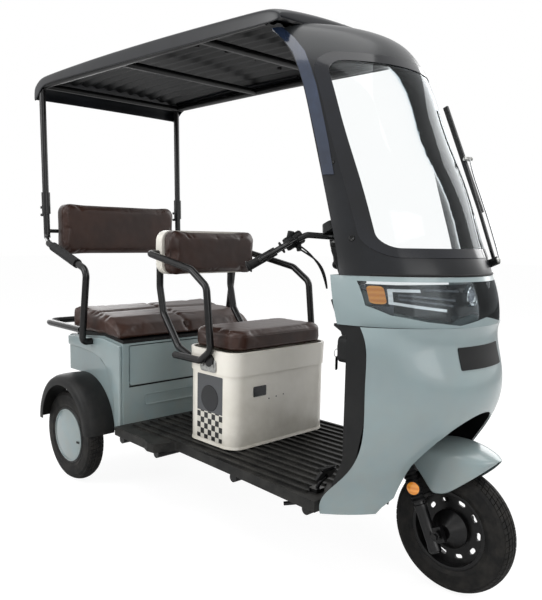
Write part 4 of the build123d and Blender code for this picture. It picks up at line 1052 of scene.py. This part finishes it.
# %% Roof moulding
ROOF_STATIONS = ((-0.344, 0.396, 1.735, 1.737, 1.739), (-0.3485, 0.401, 1.736, 1.76, 1.774),
                 (-0.346, 0.404, 1.7365, 1.79, 1.811), (-0.335, 0.405, 1.738, 1.803, 1.827),
                 (-0.305, 0.405, 1.752, 1.82, 1.845), (-0.27, 0.405, 1.787, 1.832, 1.856),
                 (-0.2, 0.403, 1.7965, 1.836, 1.86), (0.19, 0.3927, 1.79, 1.844, 1.868),
                 (0.66, 0.3802, 1.785, 1.84, 1.866), (1.03, 0.3703, 1.779, 1.83, 1.858),
                 (1.16, 0.367, 1.777, 1.826, 1.852), (1.2, 0.364, 1.778, 1.82, 1.845),
                 (1.219, 0.359, 1.782, 1.811, 1.834), (1.223, 0.356, 1.786, 1.8, 1.816),
                 (1.22, 0.352, 1.788, 1.79, 1.792))
SHOULDER_R = 0.02
form = bmesh.new()
chains = []
for ahead, half, edge, shoulder, crown in ROOF_STATIONS:
    half_section = [(half - 0.001, edge), (half, edge + 0.004), (half, max(edge + 0.006, shoulder - 0.026))]
    turn_in = min(SHOULDER_R, max(0.002, shoulder - edge))
    for step in (1, 2, 3, 4):
        swing = math.pi / 2 * step / 5
        half_section.append((half - turn_in * (1 - math.cos(swing)),
                             shoulder - turn_in * 0.6 + turn_in * 0.6 * math.sin(swing)))
    for share in (0.88, 0.72, 0.52, 0.28):
        half_section.append((half * share, crown - (crown - shoulder) * share ** 2.2))
    section = [(-y, z) for y, z in half_section] + [(0, crown)] + list(reversed(half_section))
    chains.append([form.verts.new((fore(ahead), y, z)) for y, z in section])
bridged(form, chains)
bmesh.ops.recalc_face_normals(form, faces=form.faces)
if sum(face.normal.z for face in form.faces) < 0:
    bmesh.ops.reverse_faces(form, faces=form.faces)
bmesh.ops.solidify(form, geom=form.faces[:], thickness=0.004)
piece_of("roof_moulding", form, roof_plastic, stands_for=("roof_shell",), angle=60, subdivide=2)

# %% [markdown]
# ## Roof trim
#
# Under the moulding hangs a dark lining of corrugated sheet, whose ribs run from front to rear. A grid is cut into
# strips, every second pair of lines is lifted, and rivets and clips hold it all to the carrier.

# %% Roof trim
LINING = (-0.285, 1.06, 0.345)
RIB_PITCH = 0.062
rear, front, half = LINING
form = bmesh.new()
lines = int(2 * half / RIB_PITCH) * 4
bmesh.ops.create_grid(form, x_segments=24, y_segments=lines, size=0.5)
for vert in form.verts:
    share, across = vert.co.x + 0.5, vert.co.y * 2
    step = round((vert.co.y + 0.5) * lines) % 4
    rise = 0.009 if step in (1, 2) else 0.0
    ahead = rear + (front - rear) * share
    under, _ = surface("roof_shell", (fore(ahead), across * half, 1.6), (0, 0, 1))
    vert.co = (fore(ahead), across * half, under.z - 0.014 + rise)
bmesh.ops.solidify(form, geom=form.faces[:], thickness=0.0015)
piece_of("roof_ribbed_lining", form, black_plastic, angle=50)

form = bmesh.new()
for ahead, left in ((1.17, -0.28), (1.18, 0.0), (1.17, 0.28), (0.6, -0.3), (0.6, 0.3), (0.0, -0.32), (0.0, 0.32)):
    spot, normal = surface("roof_shell", (fore(ahead), left, 2.1), (0, 0, -1))
    head = [(0.0, 0.0032), (0.003, 0.003), (0.0058, 0.0016), (0.0066, -0.0005), (0.0, -0.001)]
    turned(form, head, spot, normal, 16)
piece_of("roof_rivets", form, zinc)

form = bmesh.new()
for left in (-0.35, -0.2, -0.05, 0.1, 0.25, 0.36):
    for ahead in (-0.27, 0.62):
        under, _ = surface("roof_shell", (fore(ahead), left, 1.6), (0, 0, 1))
        spot = Vector((fore(ahead), left, under.z - 0.016))
        rod(form, spot, spot + Vector((0, 0, 0.012)), 0.008, 0.01, 12, 0.001)
piece_of("roof_lining_clips", form, soft_rubber)

# %% [markdown]
# ## Stuffed seats
#
# A seat is foam under a sewn cover, so its faces crown, its edges are round, and its sides pull in between the
# corners. It could be sculpted by hand, but the cover's own behaviour gives a truer shape: a copy of the CAD solid,
# a little smaller, gets an even mesh, and Blender's Cloth blows it up with pressure. A cap keeps each point near
# where it began, and the side that rests on its base stays flat. Seams come afterwards, as creases pressed in
# along lines, because the even mesh would wipe them out.

# %% Stuffed seats
PRESSURE = 4
BLOW_FRAMES = 20
REST_BAND = 0.012
RUFFLE_DEPTH, RUFFLES_PER_M = 0.0006, 30


def shrunken_copy(node, slack):
    """The merged mesh of a CAD solid, drawn in by slack metres on each side."""
    form = bmesh.new()
    form.from_mesh(nodes[node].data)
    bmesh.ops.remove_doubles(form, verts=form.verts, dist=0.00001)
    bmesh.ops.recalc_face_normals(form, faces=form.faces)
    low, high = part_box(node)
    middle = (low + high) / 2
    half = (high - low) / 2
    ratio = Vector([(half[axis] - slack[axis]) / half[axis] for axis in range(3)])
    bmesh.ops.scale(form, vec=ratio, space=Matrix.Translation(-middle), verts=form.verts)
    mesh = bpy.data.meshes.new(node)
    form.to_mesh(mesh)
    form.free()
    return mesh


def near_line(spot, start, end):
    """How far a point lies from a line between two points."""
    along = end - start
    share = max(0.0, min(1.0, (spot - start).dot(along) / along.length_squared))
    return (spot - start - along * share).length


def stuffed(node, name, body, slack, rest, cap, voxel, creases):
    """A cushion in a CAD solid's place: even mesh, cloth pressure with a cap, then creases along its seams."""
    piece = bpy.data.objects.new(name, shrunken_copy(node, slack))
    bpy.context.collection.objects.link(piece)
    even = piece.modifiers.new("even mesh", "REMESH")
    even.mode, even.voxel_size = "VOXEL", voxel
    mesh = bpy.data.meshes.new_from_object(piece.evaluated_get(bpy.context.evaluated_depsgraph_get()))
    piece.modifiers.clear()
    piece.data = mesh
    start = [vert.co.copy() for vert in mesh.vertices]
    rest = Vector(rest)
    floor_level = max(spot.dot(rest) for spot in start)
    cloth = piece.modifiers.new("stuffing", "CLOTH")
    cloth.settings.use_pressure = True
    cloth.settings.uniform_pressure_force = PRESSURE
    cloth.settings.effector_weights.gravity = 0
    for number in range(1, BLOW_FRAMES + 1):
        scene.frame_set(number)
    blown = piece.evaluated_get(bpy.context.evaluated_depsgraph_get()).data
    ends = [vert.co.copy() for vert in blown.vertices]
    piece.modifiers.remove(cloth)
    scene.frame_set(1)
    for vert, spot, end in zip(mesh.vertices, start, ends):
        move = end - spot
        if move.length > cap:
            move *= cap / move.length
        nearness = floor_level - spot.dot(rest)
        if nearness < REST_BAND and move.dot(rest) > 0:
            move -= rest * move.dot(rest)
        vert.co = spot + move
    form = bmesh.new()
    form.from_mesh(mesh)
    bmesh.ops.smooth_vert(form, verts=form.verts, factor=0.5, use_axis_x=True, use_axis_y=True, use_axis_z=True)
    form.normal_update()
    pressed = {}
    for vert in form.verts:
        depth = 0.0
        for begin, end, deep, wide in creases:
            away = near_line(vert.co, Vector(begin), Vector(end))
            depth += deep * math.exp(-(away / wide) ** 2)
        ruffle = RUFFLE_DEPTH * noise.noise(vert.co * RUFFLES_PER_M)
        pressed[vert] = vert.normal * (ruffle - depth) * (0 if vert.normal.dot(rest) > 0.6 else 1)
    for vert, move in pressed.items():
        vert.co += move
        if vert.co.dot(rest) > floor_level:
            vert.co -= rest * (vert.co.dot(rest) - floor_level)
    bmesh.ops.recalc_face_normals(form, faces=form.faces)
    form.to_mesh(mesh)
    form.free()
    mesh.materials.clear()
    mesh.materials.append(leather)
    mesh.shade_smooth()
    rounding = piece.modifiers.new("rounding", "SUBSURF")
    rounding.levels = rounding.render_levels = 1
    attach(piece, body)
    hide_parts(node)
    print(name, "has", len(mesh.polygons), "faces, rests at", round(floor_level, 4))
    return piece


def seam_on(piece, name, body, feelers, radius, paint, cyclic=True):
    """A cord of piping or thread, laid where feelers (origin, direction) touch the cushion."""
    tree = BVHTree.FromObject(piece, bpy.context.evaluated_depsgraph_get())
    points = []
    for origin, direction in feelers:
        place, normal, _, _ = tree.ray_cast(Vector(origin), Vector(direction))
        if place is not None:
            points.append(place - normal * radius * 0.25)
    form = bmesh.new()
    add_hose(form, points, radius, sides=8, cyclic=cyclic)
    return piece_of(name, form, paint, body, angle=60)


def round_feelers(centre, width, height, corner, plane):
    """Feelers round a rounded rectangle in the XY or YZ plane, each looking at the middle."""
    found = []
    for a, b in rounded(width, height, corner, 5):
        offset = Vector((a, b, 0)) if plane == "XY" else Vector((0, a, b))
        found.append((centre + offset * 1.6, -offset.normalized()))
    outline = []
    for (start, _), (end, _) in zip(found, found[1:] + found[:1]):
        steps = max(1, int((end - start).length / 0.07))
        for step in range(steps):
            spot = start.lerp(end, step / steps)
            outline.append((spot, (centre - spot).normalized()))
    return outline


print("a cushion is blown up in", BLOW_FRAMES, "frames")

# %% [markdown]
# ### Driver's seat
#
# A loose box cushion on the lid of the box, with a seam where its top panel meets its side band.

# %% Driver's seat
low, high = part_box("driver_cushion")
driver_seat = stuffed("driver_cushion", "driver_seat_cushion", "driver_seat", (0.001, 0.001, 0.002), (0, 0, -1),
                      0.009, 0.0055,
                      [((low.x + 0.01, y, high.z - 0.004), (high.x - 0.02, y, high.z - 0.004), 0.0012, 0.012)
                       for y in (-0.13, 0.13)])
middle = (low + high) / 2
for label, level in (("top", high.z - 0.017), ("foot", low.z + 0.012)):
    centre = Vector((middle.x, middle.y, level))
    seam_on(driver_seat, "driver_seat_piping_" + label, "driver_seat",
            round_feelers(centre, high.x - low.x, high.y - low.y, 0.05, "XY"), 0.0022, leather)

# %% [markdown]
# ### Bench
#
# The bench is two seats wide. A seam divides it in the middle, another crosses it where the sloping front roll
# begins, and the cover puckers where they meet.

# %% Bench
low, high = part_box("bench_cushion")
TOP_LINE = ((-0.05, 0.788), (0.06, 0.778), (0.16, 0.768), (0.235, 0.756), (0.3, 0.722), (0.335, 0.69))
creases = []
for (a, b), (c, d) in zip(TOP_LINE, TOP_LINE[1:]):
    creases.append(((fore(a), 0, b), (fore(c), 0, d), 0.008, 0.013))
for side in (-1, 1):
    creases.append(((fore(0.1), 0, 0.776), (fore(0.11), side * 0.36, 0.776), 0.005, 0.016))
    for reach, ahead in ((0.09, 0.16), (0.12, 0.2), (0.075, 0.235)):
        creases.append(((fore(ahead), 0.01 * side, 0.764), (fore(ahead + 0.02), side * reach, 0.76), 0.0024, 0.007))
    creases.append(((fore(0.02), side * 0.01, 0.781), (fore(-0.02), side * 0.1, 0.783), 0.0024, 0.008))
bench = stuffed("bench_cushion", "bench_cushion_soft", "bench_seat", (0.002, 0.002, 0.004), (0, 0, -1), 0.013,
                0.0065, creases)
thread_line = []
for (a, b), (c, d) in zip(TOP_LINE, TOP_LINE[1:]):
    for step in range(3):
        ahead = fore(a + (c - a) * step / 3)
        thread_line.append(((ahead, 0.0, 0.95), (0, 0, -1)))
seam_on(bench, "bench_middle_seam", "bench_seat", thread_line, 0.0016, thread, cyclic=False)
for side, label in SIDES:
    cross = [((fore(0.1 + 0.01 * step / 9), side * (0.02 + 0.036 * step), 0.95), (0, 0, -1)) for step in range(10)]
    seam_on(bench, "bench_cross_seam_" + label, "bench_seat", cross, 0.0016, thread, cyclic=False)

# %% [markdown]
# ### Backrests
#
# The driver's pad is fixed to its white shell, the passengers' one to the rail behind it. Each has a front panel
# sewn to a border, so a seam runs round it a little behind the face.

# %% Backrests
BACKS = (("back_pad", "driver_back_pad", (0.003, -0.004, -0.007), 0.012, 0.0055, 0.04),
         ("rear_backrest", "rear_back_pad", (0.004, -0.005, -0.008), 0.013, 0.006, 0.05))
for node, name, slack, cap, voxel, corner in BACKS:
    low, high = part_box(node)
    pad = stuffed(node, name, "root", slack, (-1, 0, 0), cap, voxel, [])
    for label, ahead, size in (("front", high.x - 0.016, 0.0022), ("rear", low.x + 0.01, 0.0018)):
        centre = Vector((ahead, 0, (low.z + high.z) / 2))
        seam_on(pad, name + "_piping_" + label, "root",
                round_feelers(centre, high.y - low.y, high.z - low.z, corner, "YZ"), size, leather)

# %% [markdown]
# ## Driver's box
#
# The cream box is a moulding with a lid. Under the lid the wall steps in by a few millimetres, on the front sits a
# small dark catch, and each side wears a strip of printed film: grey above with a plain dark disc, chequered below.
# A bright bracket at the top of the strip takes the armrest's foot.

# %% Driver's box
BOX_REAR, BOX_FRONT, BOX_HALF, BOX_CORNER = 0.648, 0.930, 0.263, 0.058
middle_of_box = Vector((fore((BOX_REAR + BOX_FRONT) / 2), 0, 0))


def band_round_box(form, low, high, out_low, out_high):
    """A band that runs round the box between two heights, standing out by these amounts."""
    rings = []
    for height, out in ((low, -0.0005), (low, out_low), (high, out_high), (high, -0.0005)):
        outline = rounded(BOX_FRONT - BOX_REAR + 2 * out, 2 * (BOX_HALF + out), BOX_CORNER + out, 8)
        rings.append([form.verts.new(middle_of_box + Vector((a, b, height))) for a, b in outline])
    bridged(form, rings, closed=True, around=True)


form = bmesh.new()
band_round_box(form, 0.6, 0.6895, 0.0045, 0.007)
piece_of("seat_box_lid_band", form, white_shell, angle=40)
form = bmesh.new()
band_round_box(form, 0.319, 0.328, 0.003, 0.001)
piece_of("seat_box_foot_bead", form, white_shell, angle=40)

form = bmesh.new()
catch = facing((fore(BOX_FRONT) + 0.0002, -0.131, 0.534), (1, 0, 0))
slab(form, catch, (0.068, 0.04), 0.004, (0.0022, 0, 0), 0.0006, steps=3)
piece_of("seat_box_catch", form, gloss_black)
form = bmesh.new()
for left, height in ((-0.08, 0.497), (-0.04, 0.5), (0.0, 0.503)):
    turned(form, [(0.0, 0.0014), (0.0024, 0.001), (0.003, -0.0004), (0.0, -0.0004)],
           (fore(BOX_FRONT), left, height), (1, 0, 0), 12)
piece_of("seat_box_front_pins", form, black_plastic)

STRIP = (0.716, 0.866, 0.335, 0.59)
for side, label in SIDES:
    rear, front, low, high = STRIP
    form = bmesh.new()
    outline = [((rear + front) / 2 + a, (low + high) / 2 + b)
               for a, b in rounded(front - rear, high - low, 0.004, 3)]
    patch(form, outline, flank("driver_box", side), 0.0009, 0.0007)
    piece_of("seat_box_film_" + label, form, strip_film)
    form = bmesh.new()
    disc = (fore((rear + front) / 2), side * (BOX_HALF + 0.0016), 0.5)
    turned(form, [(0.0, 0.0012), (0.05, 0.001), (0.051, 0.0), (0.0, -0.0002)], disc, (0, side, 0), 48)
    piece_of("seat_box_disc_" + label, form, gloss_black)
    form = bmesh.new()
    plate = facing((fore(0.79), side * (BOX_HALF + 0.0065), 0.63), (0, side, 0))
    slab(form, plate, (0.092, 0.05), 0.012, (0, side * 0.004, 0), 0.0012, 2, steps=5)
    for ahead in (0.76, 0.82):
        bolt = Vector((fore(ahead), side * (BOX_HALF + 0.0105), 0.63))
        rod(form, bolt, bolt + Vector((0, side * 0.005, 0)), 0.0075, sides=6, bevel=0.0008)
    piece_of("armrest_bracket_" + label, form, zinc)

# %% [markdown]
# ## Rear body panels
#
# The rear body is a painted moulding between the wheels. The hatch under the bench has a gap below it, where a thin
# black strip paints the gap's shade, and the panel under the gap carries a long pressed field. Each side has a
# raised border along its top and front edges, which leaves a hollow above the mudguard.

# %% Rear body panels
# painted shade: this thin black strip stands for the shadow in the gap under the hatch
form = bmesh.new()
gap = facing((fore(0.3302), 0, 0.4725), (1, 0, 0))
slab(form, gap, (0.66, 0.006), 0.002, (0.0008, 0, 0), steps=2)
piece_of("hatch_shadow_gap", form, black_plastic)
form = bmesh.new()
panel = facing((fore(0.3302), 0, 0.405), (1, 0, 0))
rim = rounded(0.5, 0.05, 0.012, 5)
sheet = form.faces.new([form.verts.new(panel @ Vector((a, b, 0))) for a, b in rim])
grown = bmesh.ops.extrude_face_region(form, geom=[sheet])
tops = [item for item in grown["geom"] if isinstance(item, bmesh.types.BMVert)]
bmesh.ops.translate(form, verts=tops, vec=(0.0035, 0, 0))
lid = [item for item in grown["geom"] if isinstance(item, bmesh.types.BMFace)]
bmesh.ops.inset_region(form, faces=lid, thickness=0.006, depth=-0.0018)
bmesh.ops.bevel(form, geom=form.edges[:], offset=0.0008, segments=2, affect="EDGES", profile=0.5, material=-1)
piece_of("rear_body_pressed_field", form, body_paint)

for side, label in SIDES:
    form = bmesh.new()
    moulding = ((-0.117, 0.648), (-0.117, 0.607), (0.0, 0.604), (0.1, 0.598), (0.165, 0.581), (0.215, 0.545),
                (0.25, 0.485), (0.268, 0.41), (0.276, 0.34), (0.28, 0.284), (0.323, 0.284), (0.323, 0.652),
                (0.18, 0.67))
    patch(form, moulding, flank("rear_body", side), 0.014, 0.0145, cell=0.05)
    rims = [edge for edge in form.edges if len(edge.link_faces) == 2 and edge.calc_face_angle(0) > 1.0]
    bmesh.ops.bevel(form, geom=rims, offset=0.0045, segments=3, affect="EDGES", profile=0.5, material=-1)
    piece_of("rear_body_side_moulding_" + label, form, body_paint, angle=40)

# %% [markdown]
# ## Rear mudguards
#
# Each mudguard is half a ring over its wheel, moulded in dark plastic, with a rounded outer edge and a rolled lip.
# The profile is spun through half a turn, which gives the smooth round that the CAD's flat ring lacks.

# %% Rear mudguards
GUARD_CENTRE = (0.028, 0.262)
GUARD_PROFILE = ((0.361, 0.233), (0.40, 0.2345), (0.44, 0.2345), (0.466, 0.232), (0.482, 0.225), (0.489, 0.213),
                 (0.4905, 0.196), (0.4905, 0.186), (0.487, 0.186), (0.4865, 0.196), (0.4845, 0.212),
                 (0.479, 0.2215), (0.465, 0.228), (0.44, 0.2305), (0.40, 0.2305), (0.361, 0.229))
for side, label in SIDES:
    form = bmesh.new()
    centre = Vector((fore(GUARD_CENTRE[0]), 0, GUARD_CENTRE[1]))
    verts = [form.verts.new(centre + Vector((-r, side * y, 0))) for y, r in GUARD_PROFILE]
    edges = [form.edges.new((verts[i - 1], verts[i])) for i in range(len(verts))]
    bmesh.ops.spin(form, geom=verts + edges, cent=centre, axis=(0, 1, 0), angle=math.pi, steps=40)
    if sum(vert.co.z for vert in form.verts) / len(form.verts) < centre.z:
        bmesh.ops.rotate(form, verts=form.verts, cent=centre, matrix=Matrix.Rotation(math.pi, 3, "Y"))
    bmesh.ops.holes_fill(form, edges=[edge for edge in form.edges if edge.is_boundary])
    piece_of("mudguard_moulded_" + label, form, black_plastic,
             stands_for=("mudguard_rear_" + label,), angle=50)

# %% [markdown]
# ## Handlebar controls
#
# Each grip ends in a flange, with a lever and its perch ahead of it, a switch block beside it and cables that
# curve down to the stem. The levers are round bars bent forward, each swept along a smooth line and closed with
# a ball. All of it rides on the steering.

# %% Handlebar controls
FLANGE = ((0.012, -0.003), (0.021, -0.003), (0.0225, 0.0), (0.021, 0.003), (0.012, 0.003), (0.012, -0.003))
CLAMP = ((0.0115, -0.018), (0.022, -0.018), (0.0245, -0.011), (0.0245, 0.011), (0.022, 0.018), (0.0115, 0.018),
         (0.0115, -0.018))
SWITCH_CASE = ((0.0115, -0.018), (0.021, -0.0185), (0.025, -0.013), (0.025, 0.013), (0.021, 0.0185),
               (0.0115, 0.018), (0.0115, -0.018))
grips, levers, perches = bmesh.new(), bmesh.new(), bmesh.new()
for side in (-1, 1):
    inner = Vector((fore(1.054), side * 0.15, 1.085))
    outer = Vector((fore(0.980), side * 0.25, 1.012))
    along = (outer - inner).normalized()
    for share in (0.02, 0.97):
        turned(grips, FLANGE, inner.lerp(outer, share), along, 24)
    perch = inner - along * 0.03
    ahead = Vector((0.7, side * 0.1, 0.25)).normalized()
    turned(perches, CLAMP, perch, along, 20)
    rod(perches, perch, perch + ahead * 0.044, 0.0125, 0.0095, 14, 0.0015)
    rod(perches, perch + Vector((0, 0, 0.012)), perch + Vector((0.006, 0, 0.042)), 0.0135, 0.012, 14, 0.002)
    switch = perch - along * 0.034
    turned(perches, SWITCH_CASE, switch, along, 20)
    rod(perches, switch, switch + Vector((0.012, side * 0.004, -0.045)), 0.011, 0.009, 12, 0.0015)
    pivot = perch + ahead * 0.04
    line = [pivot, pivot + along * 0.03 + ahead * 0.012, pivot + along * 0.08 + ahead * 0.014,
            pivot + along * 0.125 + ahead * 0.004, pivot + along * 0.145 - ahead * 0.002]
    add_hose(levers, line, 0.0068, sides=12)
    bmesh.ops.create_uvsphere(levers, u_segments=14, v_segments=10, radius=0.0085,
                              matrix=Matrix.Translation(line[-1]))
piece_of("grip_flanges", grips, soft_rubber, "steering")
piece_of("brake_levers", levers, powder_coat, "steering")
piece_of("lever_perches_and_switches", perches, black_plastic, "steering")

form = bmesh.new()
for side in (-1, 1):
    for drop, push in ((0.0, 0.0), (0.012, 0.008)):
        run = [(fore(1.09), side * 0.118, 1.098 - drop), (fore(1.13), side * 0.115, 1.082 - drop),
               (fore(1.165 + push), side * 0.085, 1.035), (fore(1.172 + push), side * 0.055, 0.985),
               (fore(1.165), side * 0.03, 0.94)]
        add_hose(form, run, 0.0034, sides=8)
piece_of("control_cables", form, soft_rubber, "steering")

# %% [markdown]
# ## Ignition lock and small fittings
#
# The ignition lock sits in a housing on the leg shield, under a bag hook, with its key in it and a ring hanging
# below. The number plate is blank sheet with two bolts. The tail lamps get a dark frame, the pedal its rubber
# ribs, and each roof pole its clamps.

# %% Ignition lock and small fittings
shield, _ = surface("leg_shield", (fore(1.1), -0.215, 0.772), (1, 0, 0))
LOCK_FACE = fore(1.402)
form = bmesh.new()
for height, tall, wide in ((0.772, 0.085, 0.07), (0.875, 0.07, 0.05)):
    foot, _ = surface("leg_shield", (fore(1.1), -0.215, height), (1, 0, 0))
    block = facing((LOCK_FACE, -0.215, height), (-1, 0, 0))
    slab(form, block, (wide, tall), 0.018, (foot.x + 0.004 - LOCK_FACE, 0, 0), 0.005, 2, steps=5)
piece_of("lock_housing_and_bag_hook", form, black_plastic)
shield = Vector((LOCK_FACE, shield.y, shield.z))
form, ring = bmesh.new(), bmesh.new()
barrel = [(0.0, 0.004), (0.008, 0.004), (0.009, 0.008), (0.016, 0.008), (0.0185, 0.004), (0.019, -0.002),
          (0.0, -0.002)]
turned(form, barrel, shield, (-1, 0, 0), 28)
blade = facing(shield + Vector((-0.014, -0.0012, 0)), (0, 1, 0))
slab(form, blade, (0.026, 0.022), 0.006, (0, 0.0024, 0), 0.0005)
hang = shield + Vector((-0.03, 0.0, -0.02))
add_hose(ring, [hang + Vector((0, math.sin(t) * 0.011, math.cos(t) * 0.013)) for t in
                [math.tau * step / 10 for step in range(10)]], 0.0011, sides=8, cyclic=True)
tag = facing(hang + Vector((0, 0, -0.034)), (-1, 0, 0))
slab(ring, tag, (0.012, 0.044), 0.005, (0.003, 0, 0), 0.0006)
piece_of("ignition_lock_and_key", form, zinc)
piece_of("key_ring_and_tag", ring, zinc)

low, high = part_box("plate_bracket")
form = bmesh.new()
plate = facing((low.x - 0.0008, 0, 0.56), (-1, 0, 0))
slab(form, plate, (0.196, 0.106), 0.006, (-0.0016, 0, 0), 0.0004)
piece_of("number_plate_blank", form, white_shell)
form = bmesh.new()
for left in (-0.065, 0.065):
    turned(form, [(0.0, 0.0035), (0.0035, 0.0032), (0.0062, 0.0018), (0.0066, 0.0), (0.0, 0.0)],
           (low.x - 0.0024, left, 0.592), (-1, 0, 0), 18)
piece_of("number_plate_bolts", form, zinc)

form = bmesh.new()
low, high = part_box("tail_lamps")
for side in (-1, 1):
    back = facing((low.x + 0.008, side * 0.305, 0.622), (-1, 0, 0))
    outer, inner = rounded(0.104, 0.06, 0.014, 5), rounded(0.092, 0.048, 0.01, 5)
    rings = [[form.verts.new(back @ Vector((a, b, 0))) for a, b in outline] for outline in (outer, inner)]
    bridged(form, rings, closed=True)
bmesh.ops.recalc_face_normals(form, faces=form.faces)
bmesh.ops.solidify(form, geom=form.faces[:], thickness=0.006)
piece_of("tail_lamp_frames", form, black_plastic)

form = bmesh.new()
low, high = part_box("brake_pedal")
pad = facing((fore(1.418), -0.3, high.z + 0.0004), (-0.3, 0, 1), (1, 0, 0))
for rib in range(5):
    spot = Vector((0, -0.017 + rib * 0.0085, 0))
    prism(form, [pad @ (spot + Vector((a, b, 0))) for a, b in rounded(0.07, 0.004, 0.0015, 2)],
          pad.to_3x3() @ Vector((0, 0, 0.003)), 0.0006, 1)
piece_of("pedal_pad_ribs", form, soft_rubber)

form = bmesh.new()
for side in (-1, 1):
    for level in (1.205, 1.24):
        spot = Vector((fore(-0.3), side * 0.3857, level))
        turned(form, [(0.0152, -0.006), (0.0205, -0.006), (0.0215, 0.0), (0.0205, 0.006), (0.0152, 0.006),
                      (0.0152, -0.006)], spot, (0, 0, 1), 24)
piece_of("pole_clamps", form, powder_coat)
